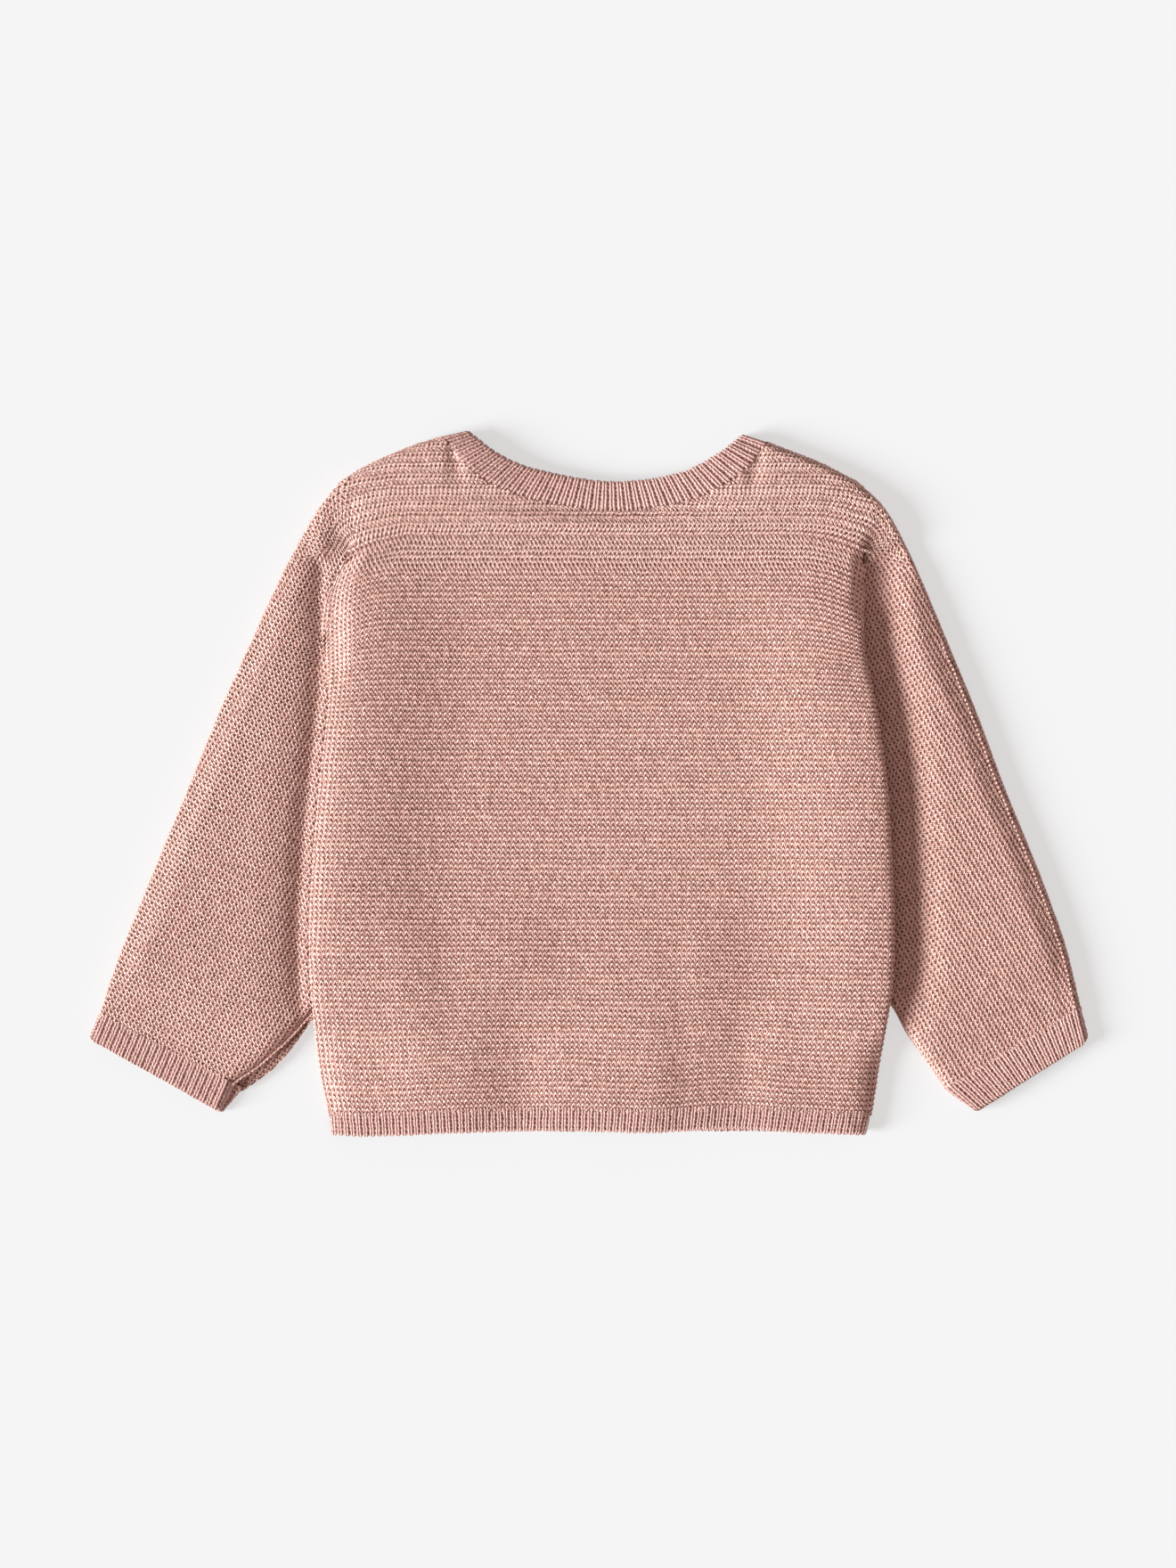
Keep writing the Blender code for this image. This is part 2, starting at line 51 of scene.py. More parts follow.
WALL = 2.2
GAP = 0.3
RIB_PITCH = 2.6
HEM_DEPTH = 8.4
CUFF_DEPTH = 9.6
CURL_REACH = 1.5
SLEEVE_LIFT = 1.2
BAND_LEFT_EDGE = -3.0
BAND_RIGHT_EDGE = 23.0
BAND_WALL = 3.0
BAND_TOP_Y = 98.0
FRONT_HEM_Y = -141.5

# y, then x at the left and at the right side fold
BODY_SIDES = [
    (-143.0, -104.4, 113.1), (-130.9, -105.9, 115.6), (-116.4, -108.8, 117.8), (-98.0, -110.8, 120.8),
    (-84.0, -112.2, 123.0), (-62.0, -113.0, 124.0), (-29.4, -111.3, 122.9), (0.0, -108.7, 121.0),
    (35.9, -104.8, 116.0), (57.6, -104.0, 112.2), (76.0, -104.0, 111.6), (88.0, -102.4, 112.6),
    (101.0, -97.2, 114.0),
]
# y, then the height of the back's inside at a side fold, on the crown beside it, in the middle
BACK_HEIGHTS = [
    (-143.0, 2.5, 5.4, 3.4), (-114.0, 2.5, 6.6, 4.4), (-98.0, 7.5, 9.4, 6.0), (-60.0, 7.5, 10.0, 6.6),
    (0.0, 7.5, 10.2, 6.8), (46.0, 7.3, 9.7, 6.6), (66.0, 6.6, 9.0, 6.5), (84.0, 5.6, 7.6, 6.3),
    (101.0, 5.0, 5.8, 5.8),
]
CROWN_REACH = 12.0
CROWN_FALL = 46.0
# Soft waves near the hem: x of the crest, half its flat width, the width of each flank
HEM_WAVES = [(-58.0, 4.0, 27.0), (9.0, 16.0, 22.0), (86.0, 4.0, 22.0)]
HEM_WAVE_TOP_Y = -60.0
# x, then y of the hem's lower edge
HEM_LINE = [
    (-104.4, -142.4), (-88.0, -142.9), (-50.0, -141.3), (-10.0, -140.6), (26.0, -141.4), (56.0, -139.8),
    (84.0, -141.4), (113.1, -142.6),
]
# Lines of the laid shape, each point as x and y
LEFT_SHOULDER = [(-100.4, 122.9), (-87.7, 130.1), (-70.3, 137.4), (-59.8, 140.7)]
NECK_SEAM = [
    (-59.8, 140.7), (-44.2, 124.3), (-22.1, 115.0), (11.0, 111.0), (40.2, 114.4), (61.0, 124.6),
    (73.2, 138.4),
]
RIGHT_SHOULDER = [(73.2, 138.4), (94.3, 130.1), (109.4, 122.4)]
NECK_EDGE = [
    (-48.9, 143.2), (-36.3, 133.8), (-21.8, 127.6), (10.9, 122.3), (38.0, 126.2), (54.0, 134.6),
    (62.7, 141.7),
]
FRONT_SEAM_LEFT = [(-59.8, 140.4), (-58.5, 126.0), (-51.0, 106.0), (-31.0, 91.0), (-3.3, 87.0)]
FRONT_EDGE_LEFT = [(-48.9, 142.9), (-47.6, 129.0), (-41.5, 112.5), (-25.0, 100.8), (-3.3, 98.0)]
FRONT_SEAM_RIGHT = [(73.2, 138.1), (71.8, 125.0), (65.5, 106.0), (48.0, 91.0), (23.3, 87.0)]
FRONT_EDGE_RIGHT = [(62.7, 141.4), (61.3, 128.0), (56.0, 112.5), (43.0, 100.8), (23.3, 98.0)]
# A point of the outer edge and one of the inner edge, from the shoulder to the cuff
LEFT_SLEEVE = [
    (-100.4, 122.9, -97.2, 101.0), (-110.0, 111.0, -103.4, 91.0), (-117.5, 97.8, -102.5, 70.0),
    (-126.5, 80.5, -91.0, 45.0), (-137.0, 57.6, -80.0, 12.0), (-150.1, 28.6, -76.0, -24.0),
    (-161.9, -0.4, -86.0, -58.0), (-171.0, -22.0, -99.5, -79.5), (-177.5, -38.0, -111.6, -92.5),
    (-183.5, -52.5, -121.0, -103.0), (-191.0, -71.0, -132.5, -113.5), (-198.6, -94.0, -144.9, -122.2),
]
RIGHT_SLEEVE = [
    (109.4, 122.4, 114.0, 101.0), (120.0, 112.4, 115.0, 91.0), (129.5, 95.6, 112.9, 70.0),
    (138.0, 76.5, 102.0, 45.0), (145.9, 57.6, 91.0, 12.0), (157.9, 28.6, 86.0, -24.0),
    (168.7, -0.4, 96.0, -56.0), (176.5, -19.5, 110.0, -76.0), (183.0, -35.5, 122.6, -89.5),
    (188.5, -50.0, 129.5, -101.5), (194.6, -68.0, 137.0, -112.5), (200.2, -91.4, 145.6, -124.6),
]

# ---------------------------------------------------------------- both sides, by -1 and 1

SIDE_NAMES = {-1: "left", 1: "right"}  # the wearer's own
SLEEVES = {-1: LEFT_SLEEVE, 1: RIGHT_SLEEVE}
CUFF_ENDS = {-1: (-202.6, -103.7, -149.7, -133.6), 1: (203.0, -104.8, 157.0, -134.0)}  # outer, inner
FRONT_SEAMS = {-1: FRONT_SEAM_LEFT, 1: FRONT_SEAM_RIGHT}
FRONT_EDGES = {-1: FRONT_EDGE_LEFT, 1: FRONT_EDGE_RIGHT}
FRONT_ENDS = {-1: BAND_LEFT_EDGE - GAP, 1: BAND_RIGHT_EDGE + GAP}  # where a front meets its band
SHOULDERS = {-1: LEFT_SHOULDER[::-1], 1: RIGHT_SHOULDER}  # from the neck outwards

# ---------------------------------------------------------------- the laid cloth

HEM_WAVE_HEIGHT = 2.3  # a little lower than the solid's, as the skin adds soft waves
RIGHT_EDGE_LIFT = 0.65  # how far the right side fold stays up towards the crown beside it
# Shallow troughs and ridges along the back: x, then the height
SOFT_WAVES = [
    (-104.0, 0.0), (-96.0, 0.35), (-87.0, 1.05), (-72.5, 2.6), (-54.4, 2.6), (-36.0, 2.9),
    (-27.0, 2.85), (-9.0, 1.9), (9.0, 2.45), (36.0, 2.6), (45.0, 2.9), (63.0, 1.6), (81.6, 0.3),
    (100.0, 0.1), (113.0, 0.0),
]
SOFT_WAVE_TOP_Y = -35.0

# ---------------------------------------------------------------- the knitting

ARMPIT_Y = 101.0
HEM_Y = -141.4  # the hem's mean line
RIDGE_PITCH = 2.21
SLEEVE_RIDGE_PITCH = 1.85
STITCH = 1.94
STITCH_SAMPLES = 3  # columns of the lattice to one stitch
BODY_STITCHES = 122  # between the side folds
TUCK_COLUMNS = 9  # columns that roll under at a side fold
SLEEVE_FIRST = TUCK_COLUMNS + 7  # the column where a sleeve starts to bend
BODY_LAST = BODY_STITCHES * STITCH_SAMPLES + 2 * TUCK_COLUMNS
BODY_RIDGES = (-107.5, 19.0)  # from the hem rib to the top of the shoulders, counted from the armpits
SLEEVE_LAST = 372  # columns of a sleeve from its bend, past the cuff's seam
BEND_CENTRES = {-1: (-88.8, 86.3), 1: (105.6, 86.3)}
BEND_RADIUS = 10.0
BEND_COLUMNS = 27
BEND_INSET = 4.2  # from the side fold's line to where a ridge starts to bend into a sleeve
SLEEVE_WAYS = {-1: (-0.527, -0.850), 1: (0.518, -0.855)}

# How far the ridges sink towards the side folds: ridge, slope in degrees.
DROOPS = [(-34, 0.0), (-25, 10.0), (-15, 28.0), (-5, 33.0), (0, 30.0), (6, 21.0), (12, 14.0), (19, 12.0)]
DROOP_REACH = 28.0

# How far the ridges run on past the left side fold, over the soft fold: ridge, reach.
SOFT_REACHES = [
    (-30, 0.0), (-24, 1.5), (-18, 3.0), (-12, 4.5), (-8, 5.5), (-5, 5.5), (-3, 4.0), (-1, 1.5), (0, 0.0),
]
SOFT_FALL = 9.0  # how far inside its end the soft fold starts to fall
SOFT_DROOP = 0.06  # how fast the ridges turn down along the soft fold
SOFT_COLUMNS = 12  # more columns of the lattice on the soft fold
RIGHT_FALL = 7.0  # how far inside its end the right side falls, just below the armpit
RIGHT_FALL_ROWS = 15.0  # how far below the armpit it does

WAVE = 0.22  # how far a ridge's yarn sways, in ridges
CREST = 0.34
VALLEY = -0.30
SEAM_HEIGHT = 2.3  # where a rolled edge of the back comes down to its front
NECK_LIFT = 1.2  # how much higher the skin is kept at the neck than the solid
SLEEVE_CROWN = 1.9  # how far a sleeve's outer part swells
TROUGH_TOPS = {-1: 111.0, 1: 105.0}  # where the trough of a sleeve starts
SLEEVE_TROUGHS = {-1: (3.0, 6.0, 2.0), 1: (8.0, 8.0, 3.0)}  # its flat part, its outer flank, its depth
SHOULDER_ROLL = 2.4
SLEEVE_ROLL = 1.3
CUFF_ROLL = 5.0  # of the inner edge of a sleeve near its cuff
FRONT_ROLL = 2.0
ROLL_IN = 2.0  # where a side fold starts to roll under
SIDE_DROPS = {-1: 1.4, 1: 2.6}  # half the thickness of the rolled edge of a side fold
FOLD_STARTS = {-1: 6.0, 1: 0.0}  # how many ridges below the armpit a fold starts to thicken
FOLD_ROWS = {-1: 10.0, 1: 7.0}
EDGE_STRIP = 2.0  # how wide the front shows past the back along the wearer's right sleeve
EDGE_STEP = 0.7  # how much lower it lies there
STRIP_WIDTHS = (2.4, 5.0)  # how far the left front shows past the back, above the cuff and at it
FALL_LIFT = 0.3  # how far above a sleeve the back comes down on it
SLEEVE_TOP_Y = 99.5  # where the ridges that start below the armpit end
INNER_EDGE_Y = -50.0  # below it the inner edge of a sleeve lies free of the body
FRONT_SAMPLES = 2.0  # columns of a front's lattice to one stitch
FRONT_COLUMNS = {-1: (TUCK_COLUMNS - 4.5, 210.0), 1: (205.5, BODY_LAST - 4.0)}  # first, last
FRONT_NECK_ENDS = {-1: 62.0, 1: 74.0}  # how far out the neck may cut a front
FAR = 99.0  # a distance where nothing rolls
BACK_SEED = 11
BACK_RELIEF_SEED = 21
FRONT_SEED = 31
FRONT_RELIEF_SEED = 41

RIB_SAMPLES = 12
RIB_PROFILE = [
    (0.0, -0.10), (0.09, -0.07), (0.17, 0.12), (0.27, 0.30), (0.38, 0.24), (0.50, 0.09), (0.62, 0.24),
    (0.73, 0.30), (0.83, 0.12), (0.91, -0.07), (1.0, -0.10),
]
RIB_ROW = 1.7  # the length of one stitch along a rib
RIB_FOLD = 1.1  # half the thickness of a folded rib
RESTING_DROP = 0.85  # how far the relief sinks where a rib rests on the floor
HEM_CORNER_Y = -143.0  # where the hem's edge meets the side folds
NECK_RIBS = 43
NECK_DEPTH = 12.0
CUFF_RIBS = 22
CUFF_CORNER = 1.3  # how much the corners of a cuff are rounded off
CUFF_STRIPS = {-1: (5.0, 1.4), 1: (0.0, 0.6)}  # how far its lower half shows, at its seam and end

CORD_RADIUS = 0.50
CORD_SAMPLES = 8
CORD_STITCH = 1.9  # the length of one stitch of a sewn seam
CORD_INSIDE = {-1: 0.5, 1: 2.5}  # how far a sewn seam lies inside its edge
CORD_LIFT = {-1: -0.25, 1: 0.15}  # above the sleeve
CORD_LINES = {-1: [row[2:] for row in LEFT_SLEEVE[8:]], 1: [row[:2] for row in RIGHT_SLEEVE[4:]]}

# ---------------------------------------------------------------- curves and surfaces


def ease(value):
    value = np.clip(value, 0.0, 1.0)
    return value * value * (3.0 - 2.0 * value)


def mix(a, b, share):
    return a + (b - a) * share


def quarter_round(distance, reach):
    left = 1.0 - np.clip(distance / reach, 0.0, 1.0)
    return np.sqrt(np.maximum(0.0, 1.0 - left * left))


def table_at(rows, key):
    """Columns of a table read at many keys on the same smooth curve as the solids use."""
    rows = np.array(rows, float)
    keys = rows[:, 0]
    key = np.clip(np.asarray(key, float), keys[0], keys[-1])
    i = np.clip(np.searchsorted(keys, key, side="right") - 1, 0, len(rows) - 2)
    before = rows[np.maximum(i - 1, 0)]
    low = rows[i]
    high = rows[i + 1]
    after = rows[np.minimum(i + 2, len(rows) - 1)]
    span = (high[..., 0] - low[..., 0])[..., None]
    t = (key - low[..., 0])[..., None] / span
    low_slope = (high - before)[..., 1:] / np.maximum((high - before)[..., :1], 1e-9)
    high_slope = (after - low)[..., 1:] / np.maximum((after - low)[..., :1], 1e-9)
    return (
        (2 * t**3 - 3 * t**2 + 1) * low[..., 1:]
        + (t**3 - 2 * t**2 + t) * span * low_slope
        + (3 * t**2 - 2 * t**3) * high[..., 1:]
        + (t**3 - t**2) * span * high_slope
    )


def route(points, share):
    """Points at shares of the length of a smooth curve through the given points."""
    points = np.array(points, float)
    steps = np.linalg.norm(np.diff(points, axis=0), axis=1)
    lengths = np.concatenate([[0.0], np.cumsum(steps)])
    rows = np.column_stack([lengths, points])
    return table_at(rows, np.asarray(share, float) * lengths[-1])


def sides_at(y):
    """The lines of the left and the right side fold."""
    return np.moveaxis(table_at(BODY_SIDES, y), -1, 0)


def hem_at(x):
    return table_at(HEM_LINE, x)[..., 0]


def hem_wave(x, y):
    fade = ease((HEM_WAVE_TOP_Y - y) / 60.0)
    lift = np.zeros_like(x)
    for crest, half_width, flank in HEM_WAVES:
        lift = np.maximum(lift, 1.0 - ease((np.abs(x - crest) - half_width) / flank))
    return HEM_WAVE_HEIGHT * fade * lift


def soft_wave(x, y):
    """Shallow troughs and ridges of the back, finer than the solid's own waves."""
    return table_at(SOFT_WAVES, x)[..., 0] * ease((SOFT_WAVE_TOP_Y - y) / 45.0)


def back_height(x, y):
    """The inside of the back between its side folds, below the armpits."""
    left, right = sides_at(y)
    edge, crown, middle = np.moveaxis(table_at(BACK_HEIGHTS, y), -1, 0)
    distance = np.maximum(0.0, np.minimum(x - left, right - x) - CURL_REACH)
    rise = quarter_round(distance, CROWN_REACH)
    fall = ease((distance - CROWN_REACH) / CROWN_FALL)
    high_edge = ease((x - 60.0) / 20.0) * ease((y + 118.0) / 24.0)
    beside = mix(mix(edge, crown, RIGHT_EDGE_LIFT * high_edge), crown, rise)
    return mix(beside, middle + hem_wave(x, y), fall) + soft_wave(x, y)


def neck_level(share):
    rise = ease(share / 0.12)
    return mix(WALL + GAP, mix(4.4, 2.9, ease(share / 0.5)) + NECK_LIFT, rise)


SHARES = np.linspace(0.0, 1.0, 121)
NECK_CURVE = route(NECK_SEAM, SHARES)
TOP_LINE = np.concatenate(
    [
        route(LEFT_SHOULDER, SHARES)[:-1],
        NECK_CURVE,
        route(RIGHT_SHOULDER, SHARES)[1:],
    ]
)


def upper_height(x, y):
    """The inside of the back above the armpits."""
    top = np.interp(x, TOP_LINE[:, 0], TOP_LINE[:, 1])
    step = np.clip((y - ARMPIT_Y) / (top - ARMPIT_Y), 0.0, 1.0)
    share = np.interp(x, NECK_CURVE[:, 0], SHARES)
    share = np.minimum(share, 1.0 - share)
    neck = neck_level(share)
    start = back_height(x, np.full_like(y, ARMPIT_Y))
    body = mix(5.0, start, ease((1.0 - step) / 0.7))
    neck_part = ease(share / 0.1)
    drop = ease((1.0 - step) / 0.6)
    return mix(body, mix(neck, body, drop), neck_part)


def body_surface(x, y):
    """The outside of the back, without the rolls at its edges."""
    inner_x = clamp_to_sides(x, y)
    lower = back_height(inner_x, y)
    return WALL + np.where(y > ARMPIT_Y, upper_height(x, y), lower)


def clamp_to_sides(x, y):
    left, right = sides_at(y)
    return np.clip(x, left + ROLL_IN, right - ROLL_IN)


def inside_body(x, y, side):
    """How far a point is inside the body's side fold."""
    left, right = sides_at(y)
    return x - left if side < 0 else right - x


def covered_share(x, y, side):
    """1 where a sleeve lies under the body or joins it, and 0 further out."""
    high = ease((y - 84.0) / 18.0)
    reach = mix(6.0 if side < 0 else 0.5, 20.0, high)
    return ease((inside_body(x, y, side) + reach) / mix(5.0, 10.0, high))


def cuff_distance(x, y, side):
    """How far a point is above the seam of the cuff."""
    outer, inner = np.array(SLEEVES[side][-1]).reshape(2, 2)
    across = (inner - outer) / np.linalg.norm(inner - outer)
    return side * ((x - outer[0]) * across[1] - (y - outer[1]) * across[0])


def sleeve_surface(x, y, side):
    """The outside of a sleeve: a soft crown along its outer part and a trough beside the body."""
    outside = -inside_body(x, y, side)
    from_outline, _, _ = to_outline(x, y, side)
    crown = ease(outside / 24.0) * ease(from_outline / 11.0)
    crown = crown * ease(cuff_distance(x, y, side) / 30.0) * ease((112.0 - y) / 30.0)
    flat, flank, depth = SLEEVE_TROUGHS[side]
    trough = depth * np.exp(-((np.maximum(outside - flat, 0.0) / flank) ** 2))
    trough = trough * ease((TROUGH_TOPS[side] - y) / 20.0) * ease((y + 110.0) / 40.0)
    level = mix(WALL + SLEEVE_LIFT, 2 * WALL + 2 * GAP, covered_share(x, y, side))
    return WALL + level + SLEEVE_CROWN * crown - trough


def front_rise(x, side):
    """How high the left front lies where it runs over the right one's band."""
    return (BAND_WALL + GAP) * ease((x - BAND_LEFT_EDGE + 18.0) / 14.0) * (side < 0)


def droop_slope(n):
    """How steeply a ridge runs at its end."""
    return np.tan(np.radians(np.interp(n, *zip(*DROOPS))))


def droop(n, inside):
    """How far a ridge has sunk near the side folds, at a distance inside their line."""
    reach = np.clip(DROOP_REACH - inside, 0.0, DROOP_REACH + 10.0)
    return 0.5 * droop_slope(n) / DROOP_REACH * reach * reach


def droop_angle(n):
    """The slope of a ridge where it starts to bend into a sleeve."""
    return np.arctan(droop_slope(n) * (DROOP_REACH - BEND_INSET) / DROOP_REACH)


def soft_reach(n):
    """How far a ridge goes on past the left side fold, over the soft fold on to the sleeve."""
    return np.interp(n, *zip(*SOFT_REACHES))


def soft_droop(n, inside):
    """How much further a ridge has sunk along the soft fold."""
    past = np.clip(3.0 - inside, 0.0, 12.0)
    return SOFT_DROOP * past * past * ease(soft_reach(n) / 4.0)


def bend_start(side, n):
    """Where a ridge leaves the body for a sleeve, and its distance from the bend's centre."""
    angle = droop_angle(n)
    centre_x, centre_y = BEND_CENTRES[side]
    start_y = ARMPIT_Y + RIDGE_PITCH * n - droop(n, BEND_INSET)
    radius = (start_y - centre_y) / np.cos(angle)
    x = centre_x + side * radius * np.sin(angle)
    y = centre_y + radius * np.cos(angle)
    return x, y, radius


def body_plan(column, n):
    """The place on the laid back, unrolled at its folds, of a column of the lattice and a ridge n."""
    y = ARMPIT_Y + RIDGE_PITCH * n
    across = (column - TUCK_COLUMNS) / (STITCH_SAMPLES * BODY_STITCHES)
    left, right = sides_at(y)
    low_x = mix(left, right, across)
    low_y = y - droop(n, np.minimum(low_x - left, right - low_x)) - soft_droop(n, low_x - left)
    low_y = low_y + (hem_at(low_x) - HEM_Y) * ease((-50.0 - y) / 80.0)
    left_x, _, _ = bend_start(-1, np.maximum(n, 0.0))
    right_x, _, _ = bend_start(1, np.maximum(n, 0.0))
    share = (column - SLEEVE_FIRST) / (BODY_LAST - 2 * SLEEVE_FIRST)
    high_x = mix(left_x, right_x, share)
    to_end = np.minimum(high_x - left_x, right_x - high_x) + BEND_INSET
    high_y = y - droop(np.maximum(n, 0.0), to_end)
    above = n >= 0.0
    return np.where(above, high_x, low_x), np.where(above, high_y, low_y)


def row_end(n, side):
    """Where a ridge below the armpits reaches its side fold."""
    y = ARMPIT_Y + RIDGE_PITCH * n
    left, right = sides_at(y)
    if side > 0:
        return right, y - droop(n, 0.0)
    reach = soft_reach(n)
    return left - reach, y - droop(n, -reach) - soft_droop(n, -reach)


def inside_skin(x, y, side):
    """How far a point is inside the end of the ridges at its level."""
    n = np.linspace(-107.0, 0.0, 429)
    end_x, end_y = row_end(n, side)
    return (np.interp(y, end_y, end_x) - x) * side


def sleeve_plan(side, m, n):
    """The place on a laid sleeve of the column m from its bend and a ridge n."""
    centre_x, centre_y = BEND_CENTRES[side]
    way_x, way_y = SLEEVE_WAYS[side]
    normal_x, normal_y = side * -way_y, side * way_x
    last = math.atan2(side * normal_x, normal_y)
    above = np.maximum(n, 0.0)
    _, _, start_radius = bend_start(side, above)
    end_radius = BEND_RADIUS + SLEEVE_RIDGE_PITCH * n
    share = np.clip(m / BEND_COLUMNS, 0.0, 1.0)
    share = np.where(n >= 0.0, share, 1.0)
    angle = mix(droop_angle(above), last, share)
    radius = mix(start_radius, end_radius, ease(share))
    radius = np.where(n >= 0.0, radius, end_radius)
    along = (m - BEND_COLUMNS) * STITCH / STITCH_SAMPLES
    along = np.where((n >= 0.0) & (along < 0.0), 0.0, along)
    x = centre_x + side * radius * np.sin(angle) + way_x * along
    y = centre_y + radius * np.cos(angle) + way_y * along
    return x, y


def signed_distance(x, y, line, inside_left):
    """Distance to a polyline, positive on its inner side, and the unit way towards that side."""
    line = np.array(line, float)
    turn = 1.0 if inside_left else -1.0
    best = np.full(x.shape, 1e9)
    beyond = np.zeros(x.shape)
    way_x = np.zeros(x.shape)
    way_y = np.zeros(x.shape)
    for start, end in zip(line, line[1:]):
        size = np.linalg.norm(end - start)
        along_x, along_y = (end - start) / size
        t = np.clip((x - start[0]) * along_x + (y - start[1]) * along_y, 0.0, size)
        from_x = x - (start[0] + along_x * t)
        from_y = y - (start[1] + along_y * t)
        gap = np.hypot(from_x, from_y)
        nearer = gap < best - 1e-9
        best = np.where(nearer, gap, best)
        beyond = np.where(nearer, from_y * along_x - from_x * along_y, beyond)
        way_x = np.where(nearer, -along_y * turn, way_x)
        way_y = np.where(nearer, along_x * turn, way_y)
    return np.where(beyond * turn >= 0.0, best, -best), way_x, way_y


def roll(x, y, z, edge, near, reach, drop, stop=2.0):
    """Rolls a surface over an edge: down by drop where drop is positive, up where it is negative.

    The edge is given as each point's distance inside it and the way in. Returns the new place and
    the angle past the start of the roll.
    """
    distance = np.where(near, edge[0], FAR)
    size = np.sqrt((reach * reach + drop * drop) / 2.0)
    angle = np.clip((reach - distance) / size, 0.0, None)
    stopped = np.minimum(angle, stop)
    move = np.where(angle > 0.0, reach * (1.0 - np.sin(stopped)) - distance, 0.0)
    fall = np.where(angle > 0.0, drop * (1.0 - np.cos(stopped)), 0.0)
    return x + edge[1] * move, y + edge[2] * move, z - fall, angle


def drop_to_seam(z):
    return np.maximum(z - SEAM_HEIGHT, 0.5)


def smooth_noise(x, y, seed, scale):
    """Smooth noise from -1 to 1 over a plane, from a seeded grid."""
    size = 96
    grid = np.random.default_rng(seed).uniform(-1.0, 1.0, (size, size))
    gx = np.asarray(x, float) / scale
    gy = np.asarray(y, float) / scale
    ix = np.floor(gx).astype(int)
    iy = np.floor(gy).astype(int)
    tx = ease(gx - ix)
    ty = ease(gy - iy)
    low = mix(grid[ix % size, iy % size], grid[(ix + 1) % size, iy % size], tx)
    high = mix(grid[ix % size, (iy + 1) % size], grid[(ix + 1) % size, (iy + 1) % size], tx)
    return mix(low, high, ty)


def stitch_noise(u, n, seed):
    """A value from -1 to 1 for each stitch of each ridge."""
    size = 512
    grid = np.random.default_rng(seed).uniform(-1.0, 1.0, (size, size))
    iu = np.floor(u).astype(int) % size
    iv = np.floor(n + 0.25).astype(int) % size
    return grid[iu, iv]


# ---------------------------------------------------------------- meshes


def grid_normals(points):
    """Unit normals of a grid of points, from its neighbours in both directions."""
    along = np.gradient(points, axis=1)
    up = np.gradient(points, axis=0)
    normal = np.cross(along, up)
    return normal / np.maximum(np.linalg.norm(normal, axis=2, keepdims=True), 1e-9)


def raised(points, relief):
    """The points of a grid moved along its normals."""
    return points + grid_normals(points) * relief[..., None]


def garter_piece(name, surface, relief, u, n, keep, flip=False):
    """A mesh of a lattice in garter stitch, from its surface's x, y and z."""
    points = raised(np.stack(surface, axis=-1), relief)
    return grid_piece(name, points, u, n, garter, keep, flip)


def add_object(name, data):
    made = bpy.data.objects.new(name, data)
    bpy.context.scene.collection.objects.link(made)
    return made


def grid_piece(name, points, u, v, material, keep=None, flip=False, closed=False):
    """A mesh of quads between neighbouring points, where all four are kept."""
    index = np.arange(points.shape[0] * points.shape[1]).reshape(points.shape[:2])
    uv_index = np.arange(u.size).reshape(u.shape)
    if keep is None:
        keep = np.ones(points.shape[:2], bool)
    if closed:
        index = np.concatenate([index, index[:, :1]], axis=1)
        keep = np.concatenate([keep, keep[:, :1]], axis=1)

    def corners(grid):
        parts = [grid[:-1, :-1], grid[:-1, 1:], grid[1:, 1:], grid[1:, :-1]]
        if flip:
            parts = parts[::-1]
        return np.stack(parts, axis=-1)

    kept = corners(keep.astype(int)).min(axis=-1) > 0
    faces = corners(index)[kept]
    face_uv = corners(uv_index)[kept]
    used, packed = np.unique(faces, return_inverse=True)
    vertices = points.reshape(-1, 3)[used] * MM
    vertices[:, 2] = np.maximum(vertices[:, 2], 0.0)
    data = bpy.data.meshes.new(name)
    data.from_pydata(vertices.tolist(), [], packed.reshape(-1, 4).tolist())
    uv = np.stack([u, v], axis=-1).reshape(-1, 2)
    data.uv_layers.new(name="knit").data.foreach_set("uv", uv[face_uv.ravel()].ravel())
    data.materials.append(material)
    data.polygons.foreach_set("use_smooth", np.ones(len(data.polygons), bool))
    data.update()
    return add_object(name, data)


def join(first, *others):
    """One piece from several."""
    bpy.ops.object.select_all(action="DESELECT")
    for piece in (first, *others):
        piece.select_set(True)
    bpy.context.view_layer.objects.active = first
    bpy.ops.object.join()
    return first


def place(piece, nodes):
    """Says what a piece rides on, and hides the solids it stands for."""
    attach(piece, "root")
    if nodes:
        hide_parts(*nodes)
    return piece


# ---------------------------------------------------------------- materials


# The yarn's colour follows the height of its stitches: painted shade, nearly black, in the gaps between
# stitches and ridges, the middle colour on their flanks, and a painted highlight, nearly white, on the
# crests.
YARN_PAINTED_SHADE = (0.10, 0.018, 0.010, 1.0)
YARN_COLOURS = {  # its middle and its painted highlight on the crests
    "garter": ((0.81, 0.385, 0.315, 1.0), (1.0, 0.69, 0.61, 1.0)),
    "rib": ((0.62, 0.335, 0.29, 1.0), (0.82, 0.59, 0.55, 1.0)),
}
YARN_SHADE_TONES = {"garter": (1.30, 0.02), "rib": (0.80, 0.04)}  # how its height turns into painted shade in the gaps and a painted highlight on the crests
BUMP_DISTANCE = 0.0009
TURN = 2.0 * math.pi
DIAMONDS_FROM = 0.085  # metres up the back, where its stitches start to stand like bricks
DIAMONDS_OVER = 0.035


